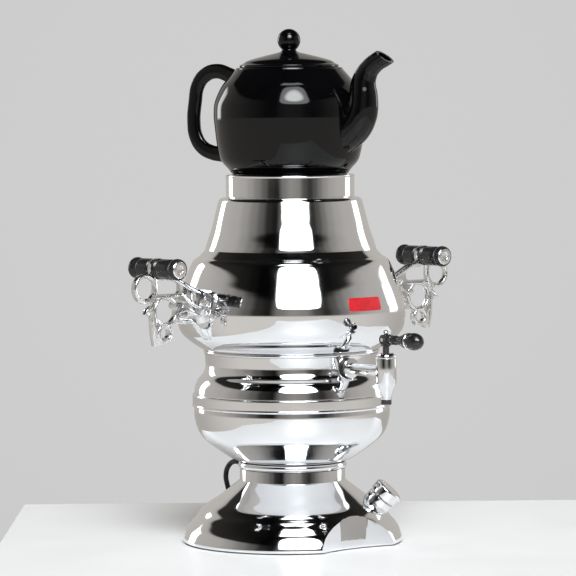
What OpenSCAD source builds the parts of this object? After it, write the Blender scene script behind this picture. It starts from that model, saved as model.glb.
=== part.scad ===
// Electric samovar with a porcelain teapot on its crown.
// The origin is on the tank's axis at table height, +Z is up and the tap points along -Y.
// Millimetres throughout.

/* [Foot] */
// Diameter of the foot at its rim
foot_d = 236; // [228:1:250]
// Height of the foot's top above the table
foot_h = 79; // [74:1:92]
// Diameter of the foot's neck
foot_neck_d = 113; // [108:1:114]
// Height of the straight part of the foot's neck
foot_neck_h = 12; // [8:1:16]
// Height of the upright rim
foot_rim_h = 4.2; // [3:0.2:7]
// Gap between the rim and the table
foot_rim_z = 1.2; // [0.8:0.1:2]
// Wall of the foot
foot_wall = 1.5; // [1:0.1:2.2]
// Radius of the arched recess at the front
recess_r = 150; // [130:5:190]
// Depth of the recess, measured in from the rim
recess_depth = 19.5; // [12:0.5:21]
// Thickness of the base plate
plate_t = 1.5; // [1:0.1:2.5]
// Height of the rubber feet under the base plate
pad_h = 3; // [2.6:0.1:4]
// Diameter of the rubber feet
pad_d = 16; // [12:0.5:20]
// Distance of the rubber feet from the axis
pad_reach = 100; // [94:1:102]
// Distance of the base screws from the axis
boss_reach = 85; // [78:1:90]
// Diameter of the base screws' shanks
base_screw_d = 3.5; // [3:0.1:4.5]

/* [Bead and bowl] */
// Diameter of the bead ring between foot and bowl
bead_d = 116.4; // [114:0.2:122]
// Height of the bead ring
bead_h = 8; // [6:0.5:10]
// Diameter of the bowl's floor
bowl_base_d = 114; // [112:1:118]
// Largest diameter of the bowl
bowl_d = 210; // [206:1:211]
// Height of the bowl
bowl_h = 59; // [54:1:70]
// Wall of the bowl and of the tank
shell_wall = 1.2; // [0.9:0.1:1.6]
// Thickness of the bowl's floor
floor_t = 1.5; // [1:0.1:2.5]

/* [Band] */
// How far the band ring stands out past the bowl
band_lip = 2; // [1.5:0.1:6]
// Height of the band ring
band_h = 14; // [10:0.5:20]
// Thickness of the band ring's flanges
band_t = 2; // [1.5:0.1:3]

/* [Waist] */
// How far the waist's lower edge stands in from the bowl's widest place
hip_step = 0.5; // [0:0.1:1.5]
// Diameter at the narrowest place
waist_d = 185.2; // [178:0.5:190]
// Height of the waist
waist_h = 43.5; // [43:0.5:52]
// Thickness of the tank's floor
tank_floor_t = 1.5; // [1:0.1:2.5]

/* [Seam, belly and neck] */
// Diameter of the seam bead
seam_d = 189; // [188.5:0.5:194]
// Height of the seam bead
seam_h = 3.5; // [2.5:0.1:5]
// Largest diameter of the belly
belly_d = 245; // [238:1:250]
// Height from the seam to the crease under the neck
belly_h = 107; // [102:1:116]
// Diameter at the crease
crease_d = 183; // [178:1:188]
// Diameter at the top of the neck
neck_d = 153.6; // [152:0.2:160]
// Height from the crease to the shoulder
neck_h = 52.5; // [48:0.5:60]
// Height of the rounded shoulder
shoulder_h = 3.5; // [3:0.1:5]
// Diameter of the tank's mouth
mouth_d = 125; // [122:0.5:127]

/* [Crown] */
// Diameter of the crown ring
crown_d = 137.6; // [137:0.2:142]
// Height of the crown's rim above the tank
crown_h = 24; // [22:0.5:30]
// Wall of the crown
crown_wall = 1.5; // [1.2:0.1:2]
// Height of the teapot's seat above the tank
seat_h = 19; // [15:0.5:20]
// Diameter of the hole in the seat
seat_hole_d = 90; // [70:1:94]
// Depth of the skirt inside the mouth
skirt_h = 18; // [10:0.5:24]
// Diameter of the steam holes in the seat
steam_hole_d = 4.4; // [3:0.2:5]

/* [Teapot] */
// Largest diameter of the teapot
pot_d = 162.6; // [156:0.2:170]
// Diameter of the teapot's foot ring
pot_foot_d = 122; // [116:0.5:124]
// Height of the teapot without its lid
pot_h = 119; // [112:1:126]
// Height of its largest diameter above its foot
pot_belly_h = 66; // [60:1:70]
// Diameter around the rim of its mouth
pot_rim_d = 114; // [112:0.5:118]
// Diameter of its mouth
pot_mouth_d = 96; // [94:0.5:98]
// Wall of the teapot
pot_wall = 4.5; // [3.5:0.1:5]
// Turn of the spout away from the tap
pot_turn = 17; // [0:1:40]
// Thickness of the handle
pot_strap_t = 8.5; // [7:0.1:10]
// Width of the handle
pot_strap_w = 16; // [12:0.5:20]
// Wall of the spout
spout_wall = 2.8; // [2.2:0.1:3.5]
// Diameter of the strainer holes behind the spout
strainer_d = 5; // [3:0.5:6]
// Diameter of the lid's flange
lid_d = 106; // [102:0.5:108]
// Thickness of the lid's flange
lid_t = 3; // [2.5:0.1:4]
// Height of the lid's dome above its flange
dome_h = 13; // [10:0.5:16]
// Depth of the lid's skirt
lid_skirt_h = 10; // [6:0.5:14]
// Diameter of the lid's ball
lid_ball_d = 24.6; // [20:0.2:28]

/* [Tap] */
// Height of the tap's pipe above the lower edge of the waist
tap_rise = 31.5; // [31:0.1:32]
// Distance of the valve's axis from the narrowest place of the waist
tap_reach = 60; // [52:1:72]
// Outer diameter of the pipe
pipe_d = 11.5; // [10.5:0.1:12]
// Bore of the pipe
pipe_bore_d = 8; // [6:0.1:9]
// Diameter of the pipe's flange
flange_d = 21; // [18:0.2:21.4]
// Thickness of the pipe's flange
flange_t = 3; // [2:0.1:4]
// Outer diameter of the valve body
valve_d = 21.4; // [20:0.2:24]
// Bore of the valve body
valve_bore_d = 14; // [13:0.1:15]
// Height of the valve body's cylinder above the pipe's axis
valve_top = 13.5; // [11:0.5:16]
// Depth of the nozzle's end below the pipe's axis
nozzle_drop = 34.5; // [32:0.5:38]
// Bore of the outlet
outlet_d = 6; // [4:0.1:7]
// Diameter of the stem
stem_d = 4.8; // [4:0.1:5]
// Height of the lever's pin above the bonnet
pin_rise = 13.5; // [12.5:0.1:15]
// Diameter of the lever's pin
pin_d = 2.6; // [2:0.1:2.8]
// Diameter of the ball on the stem
stem_ball_d = 5.8; // [5:0.1:7]
// Wire of the spring
spring_wire_d = 1.4; // [1:0.1:1.6]
// Diameter of the spring, measured to the middle of its wire
spring_d = 9.2; // [8:0.1:10]
// Turns of the spring
spring_turns = 5; // [3:1:6]
// Diameter of the lever
lever_d = 10; // [9:0.2:12]
// Distance of the lever's collar from its pin
lever_reach = 35; // [30:0.5:44]
// Diameter of the lever's knob
lever_knob_d = 18; // [16:0.2:22]
// Length of the lever's knob
lever_knob_h = 17.8; // [15:0.2:24]
// Thickness of the lever's ring
lever_ring_t = 2.2; // [1.6:0.1:3]

/* [Handles] */
// Distance of the grips' axis from the belly
bar_reach = 63.3; // [60:0.1:72]
// Height of the grips' axis above the seam
bar_rise = 93.4; // [90:0.2:97]
// Length of a pair of grips
grip_l = 70.5; // [62:0.5:84]
// Diameter of the grips at their barrels
grip_d = 20.8; // [19:0.2:23]
// Diameter of the grips at their ends
grip_end_d = 22.5; // [22:0.2:25]
// Turn of the handles towards the tap
handle_swing = 2; // [0:0.5:6]
// Thickness of the bracket's openwork
bracket_t = 5.2; // [4:0.1:6.4]
// Diameter of the rod through the grips
rod_d = 6; // [5:0.1:7]
// Diameter of the end caps
cap_d = 18; // [14:0.2:18.4]
// Thickness of the end caps
cap_t = 3; // [2.4:0.1:4]
// Width of the bracket's foot on the tank
shoe_w = 28; // [24:0.5:34]
// Thickness of the bracket's foot at the belly's widest place
shoe_t = 2.9; // [2:0.1:4]
// Diameter of the bracket's screws
bracket_screw_d = 4; // [3:0.1:5]
// Distance between a bracket's two screws
bracket_screw_gap = 18; // [16:0.5:22]

/* [Name plate] */
// Width of the plain plate on the belly
name_w = 43; // [30:1:60]
// Height of the plain plate
name_h = 14; // [10:0.5:20]
// Thickness of the plain plate
name_t = 0.6; // [0.4:0.1:1]

/* [Thermostat] */
// Turn of the knob away from the tap
knob_turn = 41; // [36:1:46]
// Distance of the knob's seat from the axis
knob_seat = 91; // [88:0.5:94]
// Angle of the knob's axis above the table
knob_tilt = 47; // [44:1:54]
// Diameter of the knob
knob_d = 32; // [26:0.5:36]
// Height of the knob
knob_h = 11; // [8:0.5:14]
// Diameter of the knob's bezel
bezel_d = 30; // [26:0.5:34]
// Height of the bezel
bezel_h = 8; // [7:0.2:10]
// Diameter of the thermostat's shaft
shaft_d = 6; // [5:0.1:6.5]
// Diameter of the thermostat's bush
bush_d = 10; // [9:0.2:11]
// Diameter of the thermostat's case
thermostat_d = 34; // [28:0.5:36]
// Depth of the thermostat's case
thermostat_h = 19.5; // [15:0.5:21]

/* [Inside] */
// Diameter of the tie rod
tie_d = 8; // [6:0.5:10]
// Diameter of the ring of the heater
heater_ring_d = 110; // [104:1:118]
// Diameter of the heater's tube
heater_d = 8; // [6.5:0.1:9]
// Height of the heater above the tank's floor
heater_rise = 12.5; // [10:0.5:18]

/* [Mains cord] */
// Diameter of the cord
cord_d = 5.6; // [5:0.1:6]
// Length of the strain relief outside the foot
gland_l = 15.5; // [14:0.5:22]

/* [Hidden] */
$fn = 96;

fit = 0.05;      // radial clearance of a pin, rod or spigot in its bore
seat = 0.1;      // gap between a piece and the curved wall that it follows
eps = 0.01;

// heights
zBowl = foot_h + bead_h;
zBand = zBowl + bowl_h;
zWaist = zBand + band_h;
zSeam = zWaist + waist_h;
zBelly = zSeam + seam_h;
zCrease = zBelly + belly_h;
zNeck = zCrease + neck_h;
zTop = zNeck + shoulder_h;
zPot = zTop + seat_h;
zPotBelly = zPot + pot_belly_h;
zRim = zPot + pot_h;
zTap = zWaist + tap_rise;
zBonnet = zTap + valve_top;
zBar = zBelly + bar_rise;
zPlate = pad_h + plate_t;

// radii
footR = foot_d / 2;
neckR = foot_neck_d / 2;
waistR = waist_d / 2;
bandR = bowl_d / 2 + band_lip;
hipR = bowl_d / 2 - hip_step;
bellyR = belly_d / 2;
mouthR = mouth_d / 2;
crownR = crown_d / 2;
valveR = waistR + tap_reach;     // the valve's axis, measured from the tank's
barR = bellyR + bar_reach;       // the grips' axis, measured from the tank's

// ---- curves -------------------------------------------------------------------------------
function unit(v) = v / norm(v);
function back(p) = [for (i = [len(p) - 1 : -1 : 0]) p[i]];
function catmull(a, b, c, d, t) =
    0.5 * (2 * b + (c - a) * t + (2 * a - 5 * b + 4 * c - d) * t * t + (3 * b - a - 3 * c + d) * t * t * t);
function spline(p, n = 3) = [
    for (i = [0 : len(p) - 2], k = [0 : n - 1])
        catmull(p[max(i - 1, 0)], p[i], p[i + 1], p[min(i + 2, len(p) - 1)], k / n),
    p[len(p) - 1]
];
// fractions of a width and of a height, turned into [radius, height]
function within(r0, r1, z0, z1, f) = [for (q = f) [r0 + (r1 - r0) * q[0], z0 + (z1 - z0) * q[1]]];
function normal(p, i) =
    let (t = unit(p[min(i + 1, len(p) - 1)] - p[max(i - 1, 0)])) [t[1], -t[0]];
// the line moved inwards by w, with its two ends kept at their heights
function inset(p, w) = [
    for (i = [0 : len(p) - 1]) let (n = normal(p, i))
        i == 0 || i == len(p) - 1 ? [p[i][0] - w / n[0], p[i][1]] : p[i] - w * n
];
function solid(p) = concat([[0, p[0][1]]], p, [[0, p[len(p) - 1][1]]]);
function arc(c, r, a0, a1, n = 12) =
    [for (i = [0 : n]) let (a = a0 + (a1 - a0) * i / n) c + r * [cos(a), sin(a)]];
function slot(a, b, r) =
    let (t = atan2(b[1] - a[1], b[0] - a[0])) concat(arc(b, r, t - 90, t + 90), arc(a, r, t + 90, t + 270));

module turned(p) rotate_extrude() polygon(p);
module tube(outer, inner, h) difference() {
    cylinder(d = outer, h = h);
    translate([0, 0, -1]) cylinder(d = inner, h = h + 2);
}
module hexagon(across, h) cylinder(d = across / cos(30), h = h, $fn = 6);

// ---- sweeps -------------------------------------------------------------------------------
function headings(p) = [for (i = [0 : len(p) - 1]) unit(p[min(i + 1, len(p) - 1)] - p[max(i - 1, 0)])];
function sides(ds, n, i = 0, out = []) =
    i == len(ds) ? out
    : let (m = unit(n - (n * ds[i]) * ds[i])) sides(ds, m, i + 1, concat(out, [m]));
// rings[i] is the closed 2D section at path[i], seen against the heading ds[i]
module sweep(path, rings, ds, first) {
    k = len(rings[0]);
    m = len(path);
    sd = sides(ds, first);
    pts = [for (i = [0 : m - 1], q = rings[i]) path[i] + q[0] * sd[i] + q[1] * cross(ds[i], sd[i])];
    walls = [for (i = [0 : m - 2], j = [0 : k - 1]) let (a = i * k + j, b = i * k + (j + 1) % k)
        each [[a, b + k, b], [a, a + k, b + k]]];
    ends = [for (j = [1 : k - 2]) each [[0, j, j + 1], [(m - 1) * k, (m - 1) * k + j + 1, (m - 1) * k + j]]];
    polyhedron(points = pts, faces = concat(walls, ends), convexity = 6);
}
function round_ring(r, n) = [for (j = [0 : n - 1]) r * [cos(360 * j / n), sin(360 * j / n)]];
module hose(path, d, n = 12, first = [1, 0, 0]) {
    p = spline(path, 4);
    sweep(p, [for (q = p) round_ring(d / 2, n)], headings(p), first);
}

// ---- outlines of the turned shells --------------------------------------------------------
footCurve = spline(within(neckR, footR, foot_rim_z + foot_rim_h, foot_h - foot_neck_h, [
    [1, 0], [.935, .16], [.83, .30], [.74, .40], [.63, .54], [.40, .69], [.21, .83], [.08, .93], [0, 1]]));
footLine = concat([[footR, foot_rim_z - 2]], footCurve, [[neckR, foot_h]]);
bowlLine = spline(within(bowl_base_d / 2, bowl_d / 2, zBowl, zBand, [
    [0, 0], [.19, .07], [.35, .15], [.57, .28], [.79, .43], [.92, .59], [.985, .78], [1, .9], [.995, 1]]));
waistLine = concat([[hipR, zWaist]], spline(within(waistR, hipR, zWaist, zSeam, [
    [1, .07], [.9, .22], [.62, .37], [.18, .515], [0, .66], [0, .83], [.07, 1]])));
bellyLine = spline(within(crease_d / 2, bellyR, zBelly, zCrease, [
    [.07, 0], [.5, .08], [.81, .16], [.95, .24], [1, .355], [1, .44], [.95, .505], [.845, .6],
    [.715, .7], [.445, .88], [.21, .935], [0, 1]]));
neckLine = spline(within(neck_d / 2, crease_d / 2, zCrease, zNeck, [
    [1, 0], [.965, .06], [.815, .19], [.525, .43], [.305, .67], [.085, .91], [0, 1]]));
tankLine = concat(bellyLine, [for (i = [1 : len(neckLine) - 1]) neckLine[i]]);

// solids of the outside forms, moved inwards by w (or outwards, when w is below zero)
module foot_form(w, top = 0) difference() {
    turned(concat(
        [[0, foot_rim_z - 2], [footR - w, foot_rim_z - 2]],
        [for (q = inset(footCurve, w)) q], [[neckR - w, foot_h - top], [0, foot_h - top]]));
    translate([0, -(footR - recess_depth + recess_r), foot_rim_z - 3]) cylinder(r = recess_r + w, h = foot_h);
}
module belly_form(w) turned(solid(inset(bellyLine, w)));
module waist_form(w) turned(solid(inset(waistLine, w)));

module ring_of(angles, r) for (a = angles) rotate([0, 0, a]) translate([0, -r, 0]) children();
module front(r, z) translate([0, -r, z]) rotate([90, 0, 0]) children();

wireHole = [0, 30];
wireHoleD = 16;
bossAngles = [75, 145, 215, 285];
padAngles = [50, 130, 230, 310];

// ==== foot =================================================================================
module foot_shell() color("silver") difference() {
    union() {
        difference() {
            foot_form(0);
            foot_form(foot_wall, foot_wall);
        }
        intersection() {
            foot_form(foot_wall / 2);
            translate([0, 0, zPlate]) ring_of(bossAngles, boss_reach)
                cylinder(d = base_screw_d + 5.5, h = foot_h);
        }
    }
    translate([0, 0, foot_rim_z - 5]) cylinder(r = footR + 5, h = 5);
    ring_of(bossAngles, boss_reach) cylinder(d = base_screw_d + 2 * fit, h = zPlate + 12);
    cylinder(d = tie_d + 1, h = foot_h + 1);
    translate([wireHole[0], wireHole[1], foot_h - 5]) cylinder(d = wireHoleD, h = 10);
    knob_place() translate([0, 0, -12]) cylinder(d = bush_d + 2 * fit, h = 24);
    gland_place() translate([0, 0, -8]) cylinder(d = glandD + 2 * fit, h = 16);
}

module plate_form(w) difference() {
    translate([0, 0, pad_h]) cylinder(r = footR - foot_wall - w, h = plate_t);
    translate([0, -(footR - recess_depth + recess_r), 0]) cylinder(r = recess_r + foot_wall + w, h = 20);
}
module base_plate() color("dimgray") difference() {
    plate_form(0.4);
    ring_of(bossAngles, boss_reach) cylinder(d = base_screw_d + 2 * fit, h = 20);
    ring_of(padAngles, pad_reach) cylinder(d = padStemD + 2 * fit, h = 20);
    for (a = [-20 : 10 : 20], b = [-20 : 10 : 20]) translate([a, b, 0]) cylinder(d = 4, h = 20);
}
padStemD = 5;
module rubber_feet() color("#202020") ring_of(padAngles, pad_reach) {
    cylinder(d = pad_d, h = pad_h);
    cylinder(d = padStemD, h = zPlate + 1);
    translate([0, 0, zPlate]) cylinder(d1 = padStemD + 2, d2 = padStemD - 1, h = 2.5);
}
module base_screws() color("lightgray") ring_of(bossAngles, boss_reach) difference() {
    union() {
        translate([0, 0, pad_h - 2]) cylinder(d = base_screw_d + 3.5, h = 2);
        translate([0, 0, pad_h - 1]) cylinder(d = base_screw_d, h = 11);
    }
    for (a = [0, 90]) rotate([0, 0, a]) translate([-2, -.45, pad_h - 3]) cube([4, .9, 2]);
}

// ==== bowl, band and tie rod ===============================================================
module neck_bead() color("silver") turned(concat(
    [[bead_d / 2 - 8, foot_h]], arc([bead_d / 2 - bead_h / 2, foot_h + bead_h / 2], bead_h / 2, -90, 90),
    [[bead_d / 2 - 8, zBowl]]));

module lower_bowl() color("silver") difference() {
    turned(concat([[0, zBowl]], bowlLine,
        back([for (q = inset(bowlLine, shell_wall)) if (q[1] > zBowl + floor_t + .3) q]),
        [[bowl_base_d / 2, zBowl + floor_t], [0, zBowl + floor_t]]));
    translate([0, 0, zBowl - 1]) {
        cylinder(d = tie_d + 1, h = floor_t + 2);
        translate(wireHole) cylinder(d = wireHoleD, h = floor_t + 2);
    }
}

bandIn = hipR - 6.5;
module band_ring() color("silver") turned(concat(
    [[bowl_d / 2 - 3, zBand]],
    arc([bandR - 1.8, zBand + 1.8], 1.8, -90, 60, 8),
    [[bandR - .4, zBand + 4.2], [bandR - .4, zWaist - 2]],
    arc([bandR - 1.4, zWaist - 1], 1, 0, 90, 6),
    [[bandIn, zWaist], [bandIn, zWaist - band_t], [bandR - 2.4, zWaist - band_t],
     [bandR - 2.4, zBand + band_t], [bowl_d / 2 - 3, zBand + band_t]]));

tieNutZ = foot_h - foot_wall - 8;
module tie_rod() color("gray") translate([0, 0, tieNutZ - 4]) cylinder(d = tie_d, h = zWaist - tieNutZ + 4);
module tie_nut() color("gray") difference() {
    union() {
        translate([0, 0, foot_h - foot_wall - 1.5]) cylinder(d = tie_d * 2.6, h = 1.5);
        translate([0, 0, tieNutZ]) hexagon(tie_d * 1.6, 6.5);
    }
    cylinder(d = tie_d + 2 * fit, h = foot_h);
}

// ==== tank =================================================================================
module tank_waist() color("silver") difference() {
    turned(concat(waistLine, back(inset(waistLine, shell_wall))));
    front(waistR - 15, zTap) cylinder(d = pipe_d + 2 * fit, h = 30);
}
tankFloorR = hipR - shell_wall - 1.3;
module tank_floor() color("gainsboro") difference() {
    turned([[0, zWaist], [tankFloorR, zWaist], [tankFloorR, zWaist + 8], [tankFloorR - 1.2, zWaist + 8],
        [tankFloorR - 1.2, zWaist + tank_floor_t], [0, zWaist + tank_floor_t]]);
    heater_legs() translate([0, 0, -3]) cylinder(d = legBushD + 2 * fit, h = 8);
}
module seam_bead() color("silver") turned(concat(
    [[seam_d / 2 - 3, zSeam]], arc([seam_d / 2 - seam_h / 2, zSeam + seam_h / 2], seam_h / 2, -90, 90, 10),
    [[seam_d / 2 - 3, zBelly]]));

shoulderOut = [for (q = [[1.6, 1.4], [4.8, .3], [7.5, 0]]) [neck_d / 2 - q[0], zTop - q[1]]];
module tank_upper() color("silver") difference() {
    turned(concat(tankLine, shoulderOut, [[mouthR, zTop], [mouthR, zTop - shell_wall]],
        [for (q = [[7.5, 0], [5, .3], [2.6, 1.2]]) [neck_d / 2 - q[0], zTop - shell_wall - q[1]]],
        back(inset(tankLine, shell_wall))));
    for (s = [-1, 1]) bracket_place(s) screw_axes() translate([0, 0, -12])
        cylinder(d = bracket_screw_d + .3, h = 30);
}

// a flat plate with round ends, bent around the belly
module name_plate() color("firebrick") translate([0, 0, 0]) difference() {
    intersection() {
        belly_form(-seat - name_t);
        front(bellyR - 15, nameZ) linear_extrude(40) union() {
            square([name_w - nameRound * 2, name_h], center = true);
            square([name_w, name_h - nameRound * 2], center = true);
            for (x = [-1, 1], y = [-1, 1])
                translate([x * (name_w / 2 - nameRound), y * (name_h / 2 - nameRound)]) circle(r = nameRound);
        }
    }
    belly_form(-seat);
}
nameRound = 2.5;
nameZ = zBelly + 53;

// ==== heater and controls ==================================================================
heaterZ = zWaist + tank_floor_t + heater_rise;
legHalf = 15;          // half of the angle between the heater's legs
legBushD = heater_d + 2.4;
module heater_legs() for (s = [-1, 1])
    translate([s * sin(legHalf) * heater_ring_d / 2, cos(legHalf) * heater_ring_d / 2, zWaist]) children();
module heater() color("#b9b4ac") {
    translate([0, 0, heaterZ]) rotate([0, 0, 90 + legHalf]) rotate_extrude(angle = 360 - 2 * legHalf)
        translate([heater_ring_d / 2, 0]) circle(d = heater_d);
    heater_legs() {
        translate([0, 0, heaterZ - zWaist - 7]) cylinder(d = heater_d + .8, h = heater_d / 2 + 7.6);
        translate([0, 0, -10]) cylinder(d = heater_d, h = heaterZ - zWaist + 8);
        translate([0, 0, -15]) cylinder(d = 3, h = 6);
    }
}
module heater_bushes() color("goldenrod") heater_legs() difference() {
    union() {
        translate([0, 0, -8]) cylinder(d = legBushD, h = tank_floor_t + 10);
        translate([0, 0, tank_floor_t]) hexagon(legBushD + 4, 3);
    }
    translate([0, 0, -10]) cylinder(d = heater_d + 2 * fit, h = 20);
}
module heater_nuts() color("goldenrod") heater_legs() difference() {
    translate([0, 0, -4]) hexagon(legBushD + 4, 4);
    translate([0, 0, -5]) cylinder(d = legBushD + 2 * fit, h = 6);
}

knobSeatZ = lookup(knob_seat, footCurve);
module knob_place()
    rotate([0, 0, knob_turn]) translate([0, -knob_seat, knobSeatZ]) rotate([90 - knob_tilt, 0, 0]) children();
caseTop = -(foot_wall + thermostat_d * .5 * tan(10) + 2);
module thermostat() color("gainsboro") difference() {
    union() {
        knob_place() translate([0, 0, caseTop - thermostat_h]) cylinder(d = thermostat_d, h = thermostat_h);
        intersection() {
            knob_place() translate([0, 0, caseTop - 1]) cylinder(d = bush_d + 6, h = 20);
            foot_form(foot_wall + seat);
        }
        knob_place() translate([0, 0, caseTop - 1]) cylinder(d = bush_d, h = bezel_h - 2 - caseTop + 1);
    }
    knob_place() translate([0, 0, caseTop - thermostat_h + 4]) cylinder(d = shaft_d + 2 * fit, h = 60);
}
module knob_bezel() color("silver") difference() {
    knob_place() translate([0, 0, -10]) cylinder(d = bezel_d, h = bezel_h + 10);
    foot_form(-seat);
    knob_place() translate([0, 0, -20]) cylinder(d = bush_d + 2 * fit, h = 60);
}
knobGap = 0.6;
knobNeck = 2;
module knob_shaft() color("silver") knob_place()
    translate([0, 0, shaftFoot]) cylinder(d = shaft_d, h = knobTop - 1.2 - shaftFoot);
knobTop = bezel_h + knobGap + knobNeck + knob_h;
shaftFoot = caseTop - thermostat_h + 4.3;
module knob() color("silver") knob_place() difference() {
    turned(concat([[0, bezel_h + knobGap], [knob_d / 2 - 5, bezel_h + knobGap],
        [knob_d / 2 - 5, bezel_h + knobGap + knobNeck], [knob_d / 2, bezel_h + knobGap + knobNeck]],
        arc([knob_d / 2 - 2.5, knobTop - 2.5], 2.5, 0, 90, 8), [[0, knobTop]]));
    cylinder(d = shaft_d + 2 * fit, h = knobTop - 1.2);
    translate([-.7, knob_d / 2 - 10, knobTop - .5]) cube([1.4, 9, 2]);
}

bulbD = 8;
bulbAt = [42, -28];
module thermostat_bulb() color("peru") {
    translate([bulbAt[0], bulbAt[1] - 25, zWaist - bulbD / 2 - seat]) rotate([-90, 0, 0])
        cylinder(d = bulbD, h = 50);
    hose([caseBack, caseBack + [-7, 8, -2], [24, -22, 42], [10, 10, 62], [1, 24, foot_h - 3],
        [1, 24, zBowl + 5], [8, 26, zBowl + 18], [30, 32, zWaist - 22],
        [bulbAt[0], 31, zWaist - 9], [bulbAt[0], bulbAt[1] + 25.2, zWaist - bulbD / 2 - seat]], 2, 8);
}
caseOut = knob_seat + (caseTop - thermostat_h - 1) * cos(knob_tilt);
caseBack = [sin(knob_turn) * caseOut, -cos(knob_turn) * caseOut,
    knobSeatZ + (caseTop - thermostat_h - 1) * sin(knob_tilt)];
module safety_cutout() color("#e8e4d8") translate([-45, 0, zWaist - 8]) {
    cylinder(d = 24, h = 8);
    for (x = [-6, 6]) translate([x - .4, -3, -6]) cube([.8, 6, 7]);
}
blockY = 46;
module terminal_block() color("#e8e4d8") translate([-16, blockY - 8, zPlate]) difference() {
    cube([32, 16, 14]);
    for (x = [6, 16, 26]) translate([x, 8, 8]) cylinder(d = 4, h = 10);
}
module wiring() color("#3b6ea5") for (s = [-1, 1])
    hose([[s * 10, blockY, zPlate + 14.2], [s * 9, blockY - 2, zPlate + 26], [s * 5, 34, foot_h - 16],
        [s * 4, 31, foot_h - 4], [s * 4, 31, zBowl + 6], [s * 6, 36, zBowl + 22],
        [s * 12, 50, zWaist - 34], legEnd(s)], 2.6, 8);
function legEnd(s) = [s * sin(legHalf) * heater_ring_d / 2, cos(legHalf) * heater_ring_d / 2, zWaist - 15.2];

// ==== tap ==================================================================================
gasketT = 3.4;
flangeR = waistR + gasketT;     // the flange's inner face
pipeIn = waistR - 14;
module tap_pipe() color("silver") difference() {
    union() {
        front(pipeIn, zTap) cylinder(d = pipe_d, h = valveR - valve_bore_d / 2 - .8 - pipeIn);
        front(flangeR, zTap) cylinder(d = flange_d, h = flange_t);
    }
    front(pipeIn - 1, zTap) cylinder(d = pipe_bore_d, h = 90);
}
module tap_gaskets() color("#303030") {
    difference() {
        front(waistR - 10, zTap) cylinder(d = flange_d - 1, h = gasketT + 10);
        waist_form(-seat);
        front(waistR - 20, zTap) cylinder(d = pipe_d + 2 * fit, h = 40);
    }
    difference() {
        intersection() {
            front(waistR - shell_wall - 4, zTap) cylinder(d = flange_d - 1, h = 20);
            waist_form(shell_wall + seat);
        }
        front(waistR - 20, zTap) cylinder(d = pipe_d + 2 * fit, h = 40);
    }
}
module tap_lock_nut() color("goldenrod") difference() {
    front(waistR - shell_wall - 8, zTap) hexagon(flange_d - 3, 4);
    front(waistR - 40, zTap) cylinder(d = pipe_d + 2 * fit, h = 60);
}

seatZ = zTap - 12;              // the valve's seat
tipH = 5;
tipSpigotD = 8.4;
nozzleZ = zTap - nozzle_drop;   // the lowest edge of the nozzle's sleeve
module valve() translate([0, -valveR, 0]) children();
module tap_body() color("silver") difference() {
    valve() turned([
        [outlet_d / 2, nozzleZ + 1], [tipSpigotD / 2, nozzleZ + 1], [tipSpigotD / 2, nozzleZ + tipH],
        [5.4, nozzleZ + tipH], [5.6, nozzleZ + tipH + 3], [7.2, seatZ - 8], [valve_d / 2 - .8, seatZ - 2.2],
        [valve_d / 2, seatZ], [valve_d / 2, zBonnet], [valve_bore_d / 2, zBonnet],
        [valve_bore_d / 2, seatZ + 1.5], [outlet_d / 2, seatZ - .5]]);
    front(valveR - valve_d, zTap) cylinder(d = pipe_d + 2 * fit, h = valve_d);
}
module nozzle_tip() color("#242428") valve() difference() {
    translate([0, 0, nozzleZ]) cylinder(d = 11, h = tipH);
    translate([0, 0, nozzleZ - 1]) cylinder(d = outlet_d, h = 10);
    translate([0, 0, nozzleZ + 1]) cylinder(d = tipSpigotD + 2 * fit, h = 10);
}
bonnetH = 6;
bonnetPlug = 3;
collarD = stem_d + 2;
module tap_bonnet() color("silver") valve() difference() {
    turned(concat([[0, zBonnet - bonnetPlug], [valve_bore_d / 2 - fit, zBonnet - bonnetPlug],
        [valve_bore_d / 2 - fit, zBonnet], [valve_d / 2, zBonnet], [valve_d / 2, zBonnet + 1.6]],
        [for (a = [15 : 15 : 75]) [5 + (valve_d / 2 - 5) * cos(a), zBonnet + 1.6 + (bonnetH - 1.6) * sin(a)]],
        [[5, zBonnet + bonnetH], [0, zBonnet + bonnetH]]));
    translate([0, 0, zBonnet - 10]) cylinder(d = stem_d + .16, h = 30);
}
zPin = zBonnet + bonnetH + pin_rise;
eyeR = 5.2;                     // the lever's fork around its pin
heel = 6.5;                     // how far the fork's flat underside reaches to the front
collarTop = zPin - eyeR - .3;
module tap_collar() color("#242428") valve() difference() {
    union() {
        translate([0, 0, zBonnet + bonnetH]) cylinder(d = collarD, h = collarTop - zBonnet - bonnetH);
        translate([0, 0, collarTop - 1.3]) cylinder(d = 10, h = 1.3);
    }
    translate([0, 0, zBonnet]) cylinder(d = stem_d + .16, h = 40);
}
plungerH = 3;
sealH = 2.4;
stemBottom = seatZ + 1.6 + sealH;
stemTop = zPin + 4.6;
module tap_stem() color("#3a3a3e") valve() difference() {
    union() {
        translate([0, 0, stemBottom]) cylinder(d = valve_bore_d - 1, h = plungerH);
        translate([0, 0, stemBottom - 1.4]) cylinder(d = 3, h = 3);
        translate([0, 0, stemBottom]) cylinder(d = stem_d, h = stemTop - stemBottom);
    }
    translate([-10, 0, zPin]) rotate([0, 90, 0]) cylinder(d = pin_d + 2 * fit, h = 20);
    translate([0, 0, stemTop - 2]) cylinder(d = 2 + 2 * fit, h = 5);
}
module tap_seal() color("#6e2f25") valve() difference() {
    translate([0, 0, stemBottom - sealH]) cylinder(d1 = outlet_d + 2.4, d2 = valve_bore_d - 1.4, h = sealH);
    translate([0, 0, stemBottom - 1.4]) cylinder(d = 3 + 2 * fit, h = 3);
}
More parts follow.
